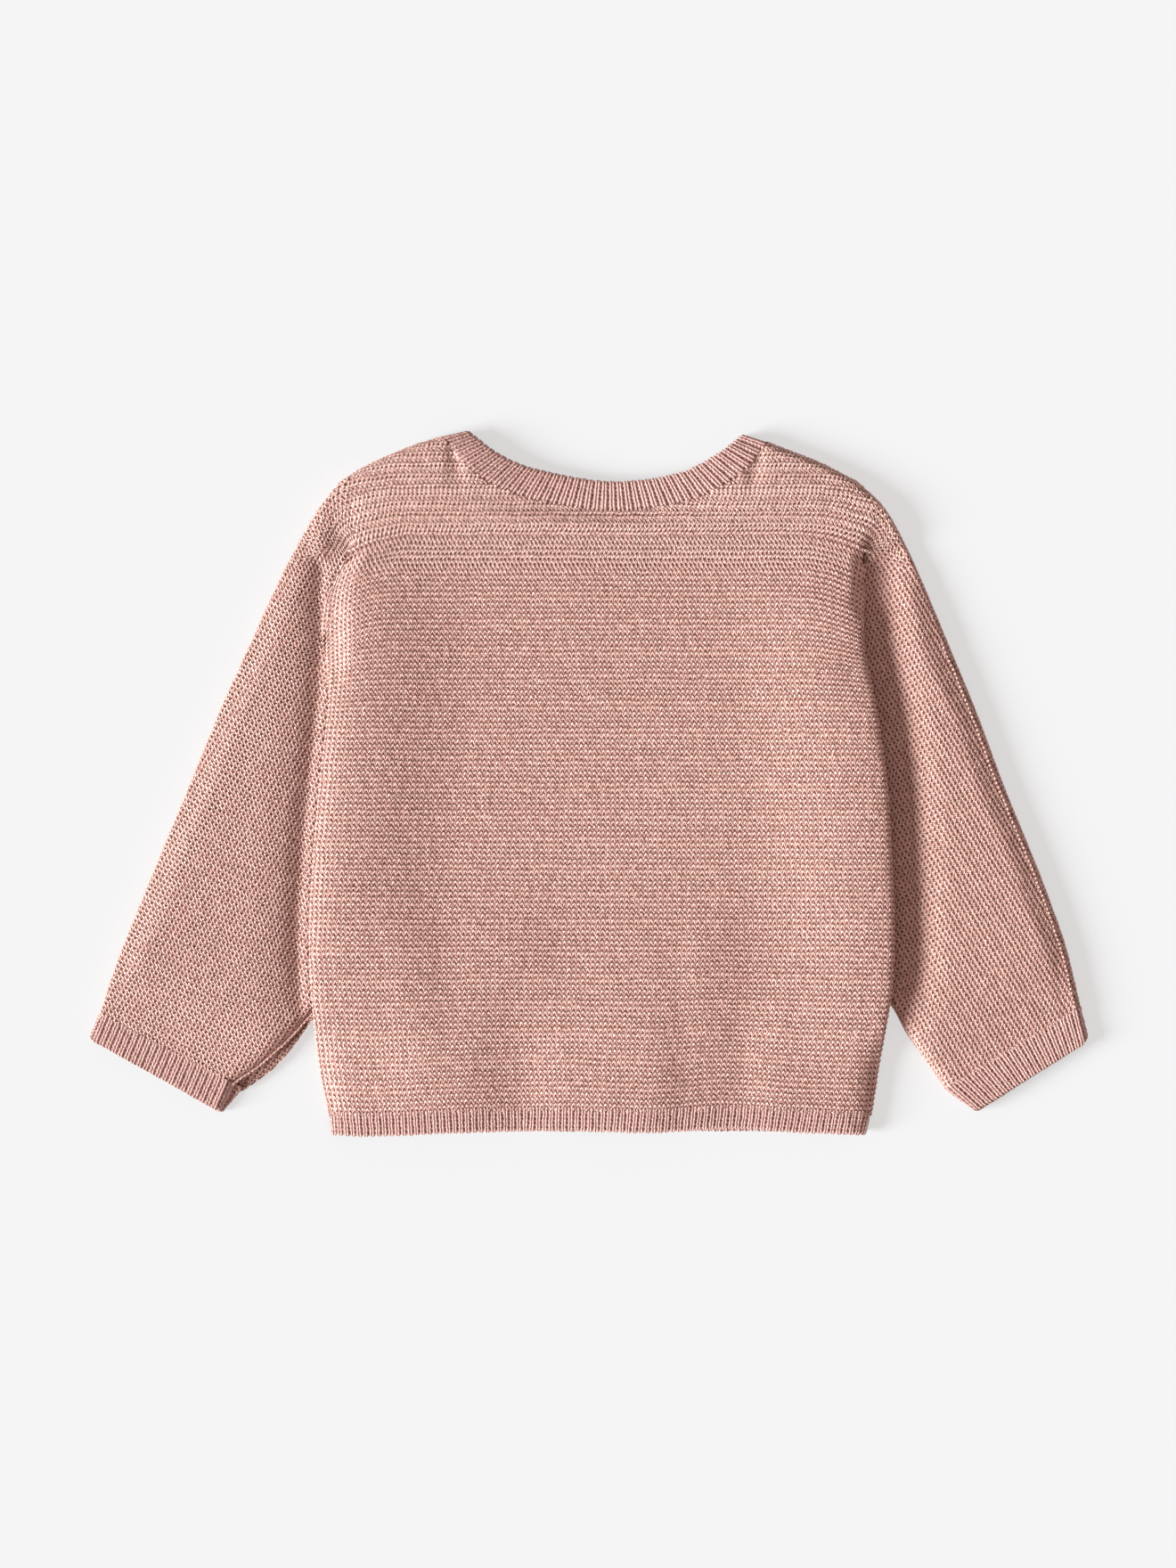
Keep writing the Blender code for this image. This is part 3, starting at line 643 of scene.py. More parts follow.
class Nodes:
    """Short ways to chain nodes in one material."""

    def __init__(self, tree):
        self.tree = tree

    def node(self, kind, **settings):
        made = self.tree.nodes.new(kind)
        for key, value in settings.items():
            setattr(made, key, value)
        return made

    def link(self, source, target):
        if hasattr(source, "is_output"):
            self.tree.links.new(source, target)
        else:
            target.default_value = source

    def fill(self, node, inputs):
        """Sets or links inputs of a node by their names."""
        for name, source in inputs.items():
            self.link(source, node.inputs[name])

    def math(self, operation, *values, clamp=False):
        made = self.node("ShaderNodeMath", operation=operation, use_clamp=clamp)
        for i, value in enumerate(values):
            self.link(value, made.inputs[i])
        return made.outputs[0]

    def times(self, a, b):
        return self.math("MULTIPLY", a, b)

    def minus(self, a, b, clamp=False):
        return self.math("SUBTRACT", a, b, clamp=clamp)

    def scaled(self, value, amount, base, clamp=False):
        return self.math("MULTIPLY_ADD", value, amount, base, clamp=clamp)

    def varied(self, noise, amount, base):
        """A base moved up and down by a noise around its middle."""
        return self.scaled(self.minus(noise, 0.5), amount, base)

    def split(self, vector):
        made = self.node("ShaderNodeSeparateXYZ")
        self.link(vector, made.inputs[0])
        return made.outputs

    def noise(self, vector, scale, detail=2.0, roughness=0.5, output="Fac", **settings):
        made = self.node("ShaderNodeTexNoise", **settings)
        self.fill(made, {"Scale": scale, "Detail": detail, "Roughness": roughness, "Vector": vector})
        return made.outputs[output]


def new_material(name):
    """A material, its surface node and the ways to chain its nodes."""
    material = bpy.data.materials.new(name)
    material.use_nodes = True
    tree = material.node_tree
    return material, tree.nodes["Principled BSDF"], Nodes(tree)


def garter_height(n, u, v, stray):
    """The height of the yarn in garter stitch, and the way along its plies."""
    column = n.varied(stray["X"], 0.30, u)
    level = n.varied(stray["Y"], 0.20, v)
    cell = n.node("ShaderNodeCombineXYZ")
    n.fill(cell, {"X": n.math("FLOOR", column), "Y": n.math("ROUND", level)})
    lot = n.node("ShaderNodeTexWhiteNoise", noise_dimensions="2D")
    n.link(cell.outputs[0], lot.inputs["Vector"])
    # beside darkens the valley between ridges and notch the holes between stitches: both deepen the bump
    # and also come out as painted shade through the yarn's tone.
    beside = n.scaled(n.math("COSINE", n.times(level, TURN)), -0.5, 0.5)
    beside = n.math("POWER", beside, 1.3)
    high = n.split(n.node("ShaderNodeTexCoord").outputs["Object"])["Y"]
    high = n.scaled(high, 1.0 / DIAMONDS_OVER, -DIAMONDS_FROM / DIAMONDS_OVER, clamp=True)
    bricks = n.scaled(n.times(level, high), 0.5, column)
    wale = n.math("COSINE", n.scaled(bricks, TURN, -2.1))
    swing = n.scaled(high, 0.28, 0.72)
    depth = n.scaled(wale, swing, n.scaled(high, -0.24, 0.78))
    depth = n.varied(lot.outputs["Value"], 0.25, depth)
    notch = n.math("POWER", n.scaled(wale, -0.5, 0.5), 1.4)
    notch = n.times(notch, n.minus(1.0, beside))
    depth = n.scaled(notch, 0.72, n.times(beside, depth))
    return n.minus(1.0, depth, clamp=True), n.scaled(v, 2.2, n.times(u, 3.0))


def rib_height(n, u, v, stray):
    """The height of the yarn in 1x1 rib, with two slanting strands to a rib, and the same way."""
    strayed = n.varied(stray["X"], 0.16, u)
    phase = n.minus(strayed, n.math("FLOOR", strayed))
    from_middle = n.math("ABSOLUTE", n.minus(phase, 0.5))
    strand = n.math("DIVIDE", n.minus(from_middle, 0.21), 0.2)
    dome = n.minus(1.0, n.times(strand, strand))
    ridge = n.math("SQRT", n.math("MAXIMUM", dome, 0.0))
    slant = n.math("ADD", v, n.times(from_middle, 1.6))
    part = n.minus(slant, n.math("ROUND", slant))
    cap = n.minus(1.0, n.times(n.times(part, part), 2.2))
    leg_height = n.times(ridge, n.scaled(cap, 0.55, 0.45))
    purl = n.math("SINE", n.times(v, TURN))
    height = n.math("MAXIMUM", leg_height, n.scaled(purl, 0.20, 0.30))
    return height, n.math("ADD", n.times(v, 2.0), n.times(from_middle, 5.0))


def yarn_material(kind, height_of):
    """Pink yarn, with the stitches of garter stitch or of 1x1 rib from its stitch coordinates, and
    painted shade and highlight from their height.
    """
    material, surface, n = new_material(kind + "_yarn")
    uv = n.node("ShaderNodeUVMap", uv_map="knit").outputs["UV"]
    place_of = n.node("ShaderNodeTexCoord").outputs["Object"]
    stray = n.split(n.noise(uv, 0.9, 1.0, output="Color", noise_dimensions="2D"))
    height, ply = height_of(n, n.split(uv)["X"], n.split(uv)["Y"], stray)
    twist = n.math("SINE", n.times(ply, TURN))
    # Random fine specks, lighter and darker: partly the fuzz of the fibres, partly painted glints on
    # them.
    fuzz_and_glints = n.noise(place_of, 2600.0, roughness=0.6)
    grain = n.noise(place_of, 1150.0, roughness=0.6)
    patch = n.noise(place_of, 26.0)
    relief = n.varied(fuzz_and_glints, 0.35, n.varied(grain, 0.40, n.scaled(twist, 0.08, height)))
    # The tone is painted shade where the yarn lies low, in the gaps between stitches, ridges and ribs,
    # and a painted highlight where it stands high, with the specks on top.
    tone = n.scaled(n.varied(fuzz_and_glints, 2.00, relief), *YARN_SHADE_TONES[kind])
    tone = n.varied(patch, 0.06, tone)
    tone = n.math("MAXIMUM", n.math("MINIMUM", tone, 1.0), 0.0)
    # From painted shade through the yarn's middle colour to a painted highlight.
    shade_ramp = n.node("ShaderNodeValToRGB")
    middle, light = YARN_COLOURS[kind]
    shade_ramp.color_ramp.elements[0].position = 0.0
    shade_ramp.color_ramp.elements[0].color = YARN_PAINTED_SHADE
    shade_ramp.color_ramp.elements[1].position = 1.0
    shade_ramp.color_ramp.elements[1].color = light
    shade_ramp.color_ramp.elements.new(0.5).color = middle
    n.link(tone, shade_ramp.inputs[0])
    bump = n.node("ShaderNodeBump")
    n.fill(bump, {"Strength": 1.0, "Distance": BUMP_DISTANCE, "Height": relief})
    n.fill(surface, {
        "Base Color": shade_ramp.outputs[0],
        "Normal": bump.outputs[0],
        "Roughness": 0.50,
        "Specular IOR Level": 0.60,
        "Sheen Weight": 0.04,
        "Sheen Roughness": 0.45,
        "Sheen Tint": (1.0, 0.86, 0.82, 1.0),
    })
    return material


garter = yarn_material("garter", garter_height)
rib = yarn_material("rib", rib_height)

# ---------------------------------------------------------------- skins of garter stitch


def relief_of(u, n, row_is_crest, seed):
    """How far the lattice stands out from the solid: yarn crests over valleys, each stitch its own."""
    u = u + 0.5 * n * ease((n + 7.0) / 16.0)
    crest = CREST + 0.10 * stitch_noise(u, n, seed)
    valley = VALLEY + 0.10 * stitch_noise(u + 7.0, n, seed + 2)
    crest = crest + 0.20 * (np.abs(np.sin(2.0 * np.pi * u)) - 0.58)
    return np.where(row_is_crest, crest, valley)


def wobble(u, n, seed):
    """Small wanderings of the stitches within the cloth: along their ridge, and across it."""
    along = 0.45 * smooth_noise(u, 2.5 * n, seed + 3, 6.0) + 0.30 * smooth_noise(u, n, seed + 4, 1.7)
    across = 0.06 * smooth_noise(u, n, seed + 5, 6.0) + 0.10 * smooth_noise(u, n, seed + 6, 1.9)
    return along, across


OUTLINES = {}
INNER_LINES = {}
for side, rows in SLEEVES.items():
    shoulder = route(SHOULDERS[side], np.linspace(0.0, 1.0, 16))[:-1]
    outer = route([row[:2] for row in rows], np.linspace(0.0, 1.0, 60))
    OUTLINES[side] = np.concatenate([shoulder, outer])
    INNER_LINES[side] = route([row[2:] for row in rows[5:]], np.linspace(0.0, 1.0, 50))


def to_outline(x, y, side):
    return signed_distance(x, y, OUTLINES[side], inside_left=side < 0)


def to_inner_line(x, y, side):
    return signed_distance(x, y, INNER_LINES[side], inside_left=side > 0)


def lattice(columns, ridges):
    """Each point's column and ridge, and whether it is on a crest or in a valley."""
    halves = np.arange(math.ceil(ridges[0] * 2), math.floor(ridges[1] * 2) + 1)
    column, n = np.meshgrid(columns.astype(float), halves / 2.0)
    return column, n, np.repeat((halves % 2 == 0)[:, None], len(columns), axis=1)


def seats(u, n, seed):
    """How far the stitches wander along their ridge, and the ridges where they come to lie."""
    along, across = wobble(u, n, seed)
    return along, n + across + WAVE * np.sin(2.0 * np.pi * u)


def stay_apart(n, seated):
    """Keeps the rows above the armpit above it, and those below it below."""
    seated = np.where((n >= 0.0) & (seated < 0.0), 0.0, seated)
    return np.where((n < 0.0) & (seated >= 0.0), -0.01, seated)


def sleeve_start(side):
    """The body's column where a sleeve starts to bend."""
    return SLEEVE_FIRST if side < 0 else BODY_LAST - SLEEVE_FIRST


def past_sleeve_start(column, side):
    return (column - sleeve_start(side)) * side > 0.0


def knit_back():
    column, n, crest = lattice(np.arange(-SOFT_COLUMNS, BODY_LAST + 1), BODY_RIDGES)
    u = column / STITCH_SAMPLES
    along, seated = seats(u, n, BACK_SEED)
    beside = np.minimum(column, BODY_LAST - column) < 24.0
    seated = np.where(beside, stay_apart(n, seated), seated)
    x, y = body_plan(column + along, seated)
    z = body_surface(x, y)
    below = n < 0.0
    # softly down on to the sleeves, then the rolls under at the side folds
    reach = np.where(below, soft_reach(n), 0.0)
    end_x, _ = row_end(n, -1)
    fall = 1.0 - ease((x - end_x) / (reach + SOFT_FALL))
    z = mix(z, sleeve_surface(x, y, -1) + FALL_LIFT, fall * ease(reach / 3.0))
    end_x, _ = row_end(n, 1)
    fall = 1.0 - ease((end_x - x) / RIGHT_FALL)
    fall = fall * ease((n + RIGHT_FALL_ROWS) / 12.0) * ease((0.5 - n) / 1.5)
    z = np.where(below, mix(z, sleeve_surface(x, y, 1) + FALL_LIFT, fall), z)
    for side in (-1, 1):
        end_x, _ = row_end(n, side)
        edge = ((end_x - x) * side, -side, 0.0)
        drop = SIDE_DROPS[side] * mix(0.2, 1.0, ease((-n - FOLD_STARTS[side]) / FOLD_ROWS[side]))
        x, y, z, _ = roll(x, y, z, edge, below, ROLL_IN, drop, 3.0)
    # the rolls over at the shoulders
    keep = np.ones(x.shape, bool)
    for side in (-1, 1):
        near = (y > ARMPIT_Y) & ((x - 6.0) * side > 0.0)
        edge = to_outline(x, y, side)
        x, y, z, angle = roll(x, y, z, edge, near, SHOULDER_ROLL, drop_to_seam(z))
        keep &= angle < 2.3
    # under the sleeves at the armpits, and under the neckband and the hem
    tucked = ~below & (past_sleeve_start(column, -1) | past_sleeve_start(column, 1))
    z = np.where(tucked, z - 0.7, z)
    keep &= ~(tucked & (n > 0.5))
    keep &= below | ((column >= TUCK_COLUMNS) & (column <= BODY_LAST - TUCK_COLUMNS))
    keep &= ~(below & (n > -1.8) & (column > sleeve_start(1) + 3))
    neck, _, _ = signed_distance(x, y, NECK_CURVE, inside_left=False)
    between = (x > NECK_SEAM[0][0]) & (x < NECK_SEAM[-1][0]) & (y > ARMPIT_Y)
    keep &= ~(between & (neck < -0.9))
    keep &= y > hem_at(x) + HEM_DEPTH - 1.6
    relief = relief_of(u, n, crest, BACK_RELIEF_SEED)
    return place(garter_piece("knit_back", (x, y, z), relief, u, n, keep), ["back"])


def knit_sleeve(side):
    m, n, crest = lattice(np.arange(0, SLEEVE_LAST), (-51.0, 16.0))
    u = (sleeve_start(side) + side * m) / STITCH_SAMPLES
    along, seated = seats(u, n, BACK_SEED)
    seated = stay_apart(n, seated)
    below = n < 0.0
    x, y = sleeve_plan(side, m + side * along * ease(m / 6.0), seated)
    seam_x, seam_y = body_plan(sleeve_start(side) + along, seated)
    joined = ~below & (m == 0)
    x = np.where(joined, seam_x, x)
    y = np.where(joined, seam_y, y)
    z = sleeve_surface(x, y, side)
    z = mix(z, body_surface(x, y), ease(1.0 - m / 14.0) * ~below)
    inside = inside_skin(x, y, side)
    keep = ~(below & ((inside > 8.0) | (y > SLEEVE_TOP_Y)))
    first_ridge = ARMPIT_Y - droop(np.zeros_like(x), np.maximum(inside, 0.0))
    z = z - 1.6 * ease((inside + 0.2) / 2.0) * ease((first_ridge - y) / 3.0) * below
    edge = to_outline(x, y, side)
    if side > 0:
        z = z - EDGE_STEP * ease((EDGE_STRIP + 0.4 - edge[0]) / 0.8) * ease((62.0 - y) / 30.0)
    x, y, z, outer_angle = roll(x, y, z, edge, True, SLEEVE_ROLL, drop_to_seam(z))
    edge = to_inner_line(x, y, side)
    x, y, z, inner_angle = roll(x, y, z, edge, y < INNER_EDGE_Y, CUFF_ROLL, drop_to_seam(z))
    rolled = np.maximum(outer_angle, inner_angle)
    keep &= rolled < 2.3
    over = -cuff_distance(x, y, side)
    keep &= over < 1.6
    z = z - 0.6 * ease((over + 0.6) / 1.6)
    relief = side * relief_of(u, n, crest, BACK_RELIEF_SEED) * (1.0 - 0.5 * ease(rolled / 1.2))
    name = "knit_sleeve_" + SIDE_NAMES[side]
    return place(garter_piece(name, (x, y, z), relief, u, n, keep, side < 0), ["back"])


def knit_front(side):
    """The underside: a front with the lower wall of its sleeve, as two lattices in one piece."""
    name = "knit_front_" + SIDE_NAMES[side]
    step = STITCH_SAMPLES / FRONT_SAMPLES
    column, n, crest = lattice(np.arange(*FRONT_COLUMNS[side], step), BODY_RIDGES)
    u = column / STITCH_SAMPLES
    along, seated = seats(u, n, FRONT_SEED)
    below = n < 0.0
    x, y = body_plan(column + along, seated)
    z = front_rise(x, side)
    past_band = (x - FRONT_ENDS[side]) * -side
    keep = past_band < 2.4
    x = np.where(past_band > 0.0, FRONT_ENDS[side], x)
    edge = (inside_body(x, y, side) - 0.4, -side, 0.0)
    x, y, z, angle = roll(x, y, z, edge, below, FRONT_ROLL, -SEAM_HEIGHT, 2.4)
    keep &= ~(below & (angle > 2.6))
    keep &= ~(past_sleeve_start(column, side) & (n > 0.5))
    edge = to_outline(x, y, side)
    x, y, z, angle = roll(x, y, z, edge, y > ARMPIT_Y, FRONT_ROLL, -SEAM_HEIGHT)
    keep &= angle < 2.4
    neck, _, _ = signed_distance(x, y, route(FRONT_SEAMS[side], SHARES), inside_left=side > 0)
    keep &= ~((neck < -0.8) & (y > 80.0) & (x * side < FRONT_NECK_ENDS[side]))
    keep &= y > FRONT_HEM_Y + HEM_DEPTH - 1.4
    relief = CREST - relief_of(u, n, crest, FRONT_RELIEF_SEED)
    body = garter_piece(name, (x, y, z), relief, u, n, keep, flip=True)

    m, n, crest = lattice(np.arange(0.0, SLEEVE_LAST, step), (-51.0, 15.0))
    u = (sleeve_start(side) + side * m) / STITCH_SAMPLES
    _, seated = seats(u, n, FRONT_SEED)
    x, y = sleeve_plan(side, m, stay_apart(n, seated))
    inside = inside_body(x, y, side)
    z = (WALL + GAP) * ease((inside + 4.0) / 4.0) * ease((96.0 - y) / 8.0)
    keep = ~((n < 0.0) & ((inside > 6.0) | (y > SLEEVE_TOP_Y)))
    x, y, z, angle = roll(x, y, z, to_outline(x, y, side), True, FRONT_ROLL, -SEAM_HEIGHT)
    keep &= angle < 2.4
    distance, way_x, way_y = to_inner_line(x, y, side)
    strip = mix(*STRIP_WIDTHS, ease((-96.0 - y) / 24.0)) * ease((-84.0 - y) / 14.0)
    edge = (distance + strip * (side < 0), way_x, way_y)
    x, y, z, angle = roll(x, y, z, edge, y < INNER_EDGE_Y, FRONT_ROLL, -SEAM_HEIGHT)
    keep &= angle < 2.4
    keep &= cuff_distance(x, y, side) > -1.2
    relief = side * (CREST - relief_of(u, n, crest, FRONT_RELIEF_SEED))
    sleeve = garter_piece(name + "_sleeve", (x, y, z), relief, u, n, keep, side > 0)
    return place(join(body, sleeve), ["front_" + SIDE_NAMES[side]])


# ---------------------------------------------------------------- skins of rib


def rib_relief(u, v, seed):
    """Two strands of slanting stitches on each rib, with a deep valley between ribs."""
    profile = np.array(RIB_PROFILE)
    phase = u - np.floor(u)
    height = np.interp(phase, profile[:, 0], profile[:, 1])
    slant = v + 1.6 * np.abs(phase - 0.5)
    part = slant - np.round(slant)
    stitch = 0.20 * np.cos(2.0 * np.pi * part) * ease((height + 0.2) / 0.6)
    uneven = 0.12 * stitch_noise(u, v, seed) + 0.14 * smooth_noise(u, v, seed + 1, 1.4)
    return height + stitch + uneven


def rows_along(rows, depth, fold):
    """How far each row lies along a rib, from its share of the depth and its way through the cloth."""
    steps = np.abs(np.diff(np.array(rows), axis=0))
    return np.concatenate([[0.0], np.cumsum(steps[:, 0] * depth + steps[:, 1] * fold)])


def rib_hem_back():
    """The hem rib of the back, with its lower edge turned under."""
    left, right = sides_at(HEM_CORNER_Y)
    ribs = round((right - left) / RIB_PITCH)
    u = np.arange(ribs * RIB_SAMPLES + 1) / RIB_SAMPLES
    across = u / ribs
    # each row's distance from the edge, its place below the outside, and its stitch coordinate
    rows = [(d, 0.0, d / RIB_ROW) for d in np.linspace(HEM_DEPTH + 1.0, 1.0, 14)]
    for a in np.linspace(0.0, math.pi, 7)[1:]:
        rows.append((1.0 - math.sin(a), -RIB_FOLD * (1.0 - math.cos(a)), (1.0 - 1.05 * a) / RIB_ROW))
    rows += [(d, -2.0 * RIB_FOLD, (-2.3 - d) / RIB_ROW) for d in np.linspace(1.0, 7.0, 5)[1:]]
    low_y = hem_at(mix(left + 0.2, right - 0.2, across))
    lean = 0.25 * smooth_noise(u, u * 0.0 + 3.0, 61, 4.0)
    points = np.zeros((len(rows), len(u), 3))
    for i, (d, dz, _) in enumerate(rows):
        y = low_y + d
        row_left, row_right = sides_at(y)
        x = mix(row_left + 0.2, row_right - 0.2, across)
        x = x + lean * (d / HEM_DEPTH) + 0.12 * smooth_noise(u, u * 0.0 + d, 62, 1.3)
        z = WALL + back_height(clamp_to_sides(x, y), y) + dz
        points[i] = np.stack([x, y, z], axis=-1)
    inside = np.minimum(across, 1.0 - across) * (right - left)
    points[..., 2] -= 2.0 * (1.0 - quarter_round(inside, 2.4))
    uu, vv = np.meshgrid(u, [row[2] for row in rows])
    height = rib_relief(uu, vv, 71)
    height[-4:] *= 0.4
    points = raised(points, -height)
    near_edge = ease((1.5 - np.array(rows)[:, :1]) / 1.5)
    points[..., 1] -= 0.3 * np.sin(np.pi * (uu - np.floor(uu))) * near_edge
    return place(grid_piece("rib_hem_back", points, uu, vv, rib, flip=True), ["hem_back"])


def neck_front(side):
    """A front part of the neckband, facing down."""
    ribs = 28
    samples = RIB_SAMPLES // 2
    u = np.arange(ribs * samples + 1) / samples
    seam = route(FRONT_SEAMS[side], u / ribs)
    edge = route(FRONT_EDGES[side], u / ribs)
    rows = [(a, 0.0) for a in np.linspace(0.0, 0.94, 9)]
    rows += [(0.94 + 0.06 * math.sin(t), RIB_FOLD * (1.0 - math.cos(t))) for t in (0.8, 1.6, 2.4)]
    rows += [(0.7, 2.1)]
    points = np.zeros((len(rows), len(u), 3))
    for i, (a, dz) in enumerate(rows):
        plan = mix(seam, edge, a)
        points[i] = np.column_stack([plan, front_rise(plan[:, 0], side) + dz])
    uu, vv = np.meshgrid(u, np.linspace(0.0, 8.0, len(rows)))
    height = rib_relief(uu, vv, 83 + side) - 0.9
    points[..., 2] = points[..., 2] - np.minimum(height, 0.0) * 0.6
    return grid_piece("rib_neck_front_" + SIDE_NAMES[side], points, uu, vv, rib, flip=side > 0)


def rib_neckband():
    """The neckband: its back half facing up, and its two front parts facing down."""
    u = np.arange(NECK_RIBS * RIB_SAMPLES + 1) / RIB_SAMPLES
    share = mix(0.002, 0.998, u / NECK_RIBS)
    seam = route(NECK_SEAM, share)
    edge = route(NECK_EDGE, share)
    from_end = np.minimum(share, 1.0 - share)
    level = mix(4.6, neck_level(from_end + 0.04), ease(from_end / 0.05))
    # each row's share of the way from the seam to the edge, and its place below the outside
    rows = [(a, 0.0) for a in np.linspace(-0.05, 0.93, 16)]
    for t in np.linspace(0.0, math.pi, 7)[1:]:
        rows.append((0.93 + 0.07 * math.sin(t), -RIB_FOLD * (1.0 - math.cos(t))))
    rows += [(a, -2.0 * RIB_FOLD) for a in (0.8, 0.6, 0.4)]
    points = np.zeros((len(rows), len(u), 3))
    for i, (a, dz) in enumerate(rows):
        z = WALL + level - 0.5 * a * a + dz - 0.5 * ease((0.10 - a) / 0.12)
        points[i] = np.column_stack([mix(seam, edge, a), z])
    uu, vv = np.meshgrid(u, rows_along(rows, NECK_DEPTH, 1.0) / RIB_ROW)
    height = rib_relief(uu, vv, 81)
    height[-3:] *= 0.3
    height[0] = -0.4
    back = grid_piece("rib_neckband", raised(points, height), uu, vv, rib)
    return place(join(back, neck_front(-1), neck_front(1)), ["neckband"])


def round_tube(width, half, around):
    """Places across a flattened tube and their heights, all the way round it."""
    arc = math.pi * half
    flat = width - 2 * half
    length = 2 * flat + 2 * arc
    t = np.mod(np.arange(around) / around * length - arc / 2.0, length)
    far = (t - flat) / half
    near = (t - 2 * flat - arc) / half
    parts = [t < flat, t < flat + arc, t < 2 * flat + arc]
    places = [half + t, width - half + half * np.sin(far), width - half - (t - flat - arc)]
    levels = [2.0 * half, half + half * np.cos(far), 0.0]
    place_at = np.select(parts, places, half - half * np.sin(near))
    return place_at, np.select(parts, levels, half - half * np.cos(near))


def rib_cuff(side):
    """A cuff as a flattened tube: ribs all round, its end turned in."""
    seam_outer, seam_inner = np.array(SLEEVES[side][-1]).reshape(2, 2)
    end_outer, end_inner = np.array(CUFF_ENDS[side]).reshape(2, 2)
    down = (end_outer - seam_outer) / CUFF_DEPTH
    top = 2 * WALL + SLEEVE_LIFT
    half = top / 2.0
    around = 2 * CUFF_RIBS * RIB_SAMPLES
    # each row's share of the way from the seam to the end, and how far it is turned in
    rows = [(s, 0.0) for s in np.linspace(-0.06, 0.93, 14)]
    rows += [(0.93 + 0.07 * math.sin(t), 1.0 - math.cos(t)) for t in np.linspace(0.0, math.pi, 6)[1:]]
    rows += [(0.7, 2.0), (0.4, 2.0)]
    points = np.zeros((len(rows), around, 3))
    for i, (s, inward) in enumerate(rows):
        outer = mix(seam_outer, end_outer, s)
        inner = mix(seam_inner, end_inner, s)
        width = np.linalg.norm(inner - outer)
        place_at, z = round_tube(width, half, around)
        z = half + (z - half) * (1.0 - inward * 0.55 / half)
        place_at = width / 2 + (place_at - width / 2) * (1.0 - inward / (width / 2))
        from_side = np.minimum(place_at, width - place_at)
        pull = CUFF_CORNER * (1.0 - quarter_round(from_side, 3.0)) * ease((s - 0.2) / 0.7)
        strip_at = place_at / width if side < 0 else 1.0 - place_at / width
        strip = mix(*CUFF_STRIPS[side], np.clip(s, 0.0, 1.0))
        strip = strip * ease((strip_at - 0.85) / 0.12) * ease((top * 0.75 - z) / (top * 0.5))
        place_at = place_at - side * strip
        way = (inner - outer) / width
        points[i, :, :2] = outer + way * place_at[:, None] - down * pull[:, None]
        points[i, :, 2] = z
    uu, vv = np.meshgrid(np.arange(around + 1) / RIB_SAMPLES, rows_along(rows, 11.0, 0.8) / RIB_ROW)
    height = rib_relief(uu[:, :-1], vv[:, :-1], 91 + side)
    height[-3:] *= 0.3
    height = height - RESTING_DROP * ease((0.8 - points[..., 2]) / 0.8)
    wrapped = np.concatenate([points[:, -1:], points, points[:, :1]], axis=1)
    points += grid_normals(wrapped)[:, 1:-1] * (side * height)[..., None]
    name = "rib_cuff_" + SIDE_NAMES[side]
    piece = grid_piece(name, points, uu, vv, rib, flip=side < 0, closed=True)
    return place(piece, ["cuff_" + SIDE_NAMES[side]])


def rib_hem_front(side):
    """The hem rib of a front, facing down."""
    ribs = round(abs(inside_body(FRONT_ENDS[side], FRONT_HEM_Y, side)) / RIB_PITCH)
    u = np.arange(ribs * 8 + 1) / 8
    # each row's distance from the edge, and its height
    rows = [(d, 2.0 * RIB_FOLD) for d in (6.0, 3.0)]
    for t in np.linspace(0.0, math.pi, 6):
        rows.append((1.0 - math.sin(t), RIB_FOLD + RIB_FOLD * math.cos(t)))
    rows += [(d, 0.0) for d in np.linspace(1.8, HEM_DEPTH + 0.6, 8)]
    points = np.zeros((len(rows), len(u), 3))
    for i, (d, z) in enumerate(rows):
        edge = side * inside_body(0.0, FRONT_HEM_Y + d, side)
        x = mix(edge - side * 0.6, FRONT_ENDS[side], u / ribs)
        points[i] = np.column_stack([x, np.full(len(u), FRONT_HEM_Y + d), front_rise(x, side) + z])
    uu, vv = np.meshgrid(u, [(d if z < 1.0 else -d) / RIB_ROW for d, z in rows])
    height = rib_relief(uu, vv, 95 + side)
    height -= RESTING_DROP * ease((0.8 - points[..., 2]) / 0.8)
    height[:2] *= 0.3
    points = raised(points, -side * height)
    name = "rib_hem_front_" + SIDE_NAMES[side]
    piece = grid_piece(name, points, uu, vv, rib, flip=side > 0)
    return place(piece, ["hem_front_" + SIDE_NAMES[side]])


def knit_band(side, level, wall):
    """A button band: fine ridges across its width and rounded long edges, lying at a level."""
    left = BAND_LEFT_EDGE
    right = BAND_RIGHT_EDGE
    rows = np.arange(round(BAND_TOP_Y - FRONT_HEM_Y) + 1)
    turn = np.linspace(-1.2, 1.57, 5)
    edge_z = wall / 2 - wall / 2 * np.sin(turn)
    middle_x = np.linspace(left + 1.6, right - 1.6, 40)
    x = [[left + 2.0, left + 0.4], left + 1.0 - np.cos(turn), middle_x]
    x += [right - 1.0 + np.cos(turn[::-1]), [right - 0.4, right - 2.0]]
    x = np.concatenate(x)
    y = mix(FRONT_HEM_Y, BAND_TOP_Y, rows / rows[-1])
    z = level + np.concatenate([[wall, wall], edge_z, middle_x * 0.0, edge_z[::-1], [wall, wall]])
    valleys = np.where(rows % 2 == 0, 0.0, 0.5)
    points = np.stack(np.broadcast_arrays(x, y[:, None], z), axis=-1)
    points[..., 2] += valleys[:, None] * (z < level + 0.6)
    uu, vv = np.meshgrid(x / STITCH, rows / 2.0)
    name = "knit_band_" + SIDE_NAMES[side]
    piece = grid_piece(name, points, uu, vv, garter, flip=True)
    return place(piece, ["band_" + SIDE_NAMES[side]])


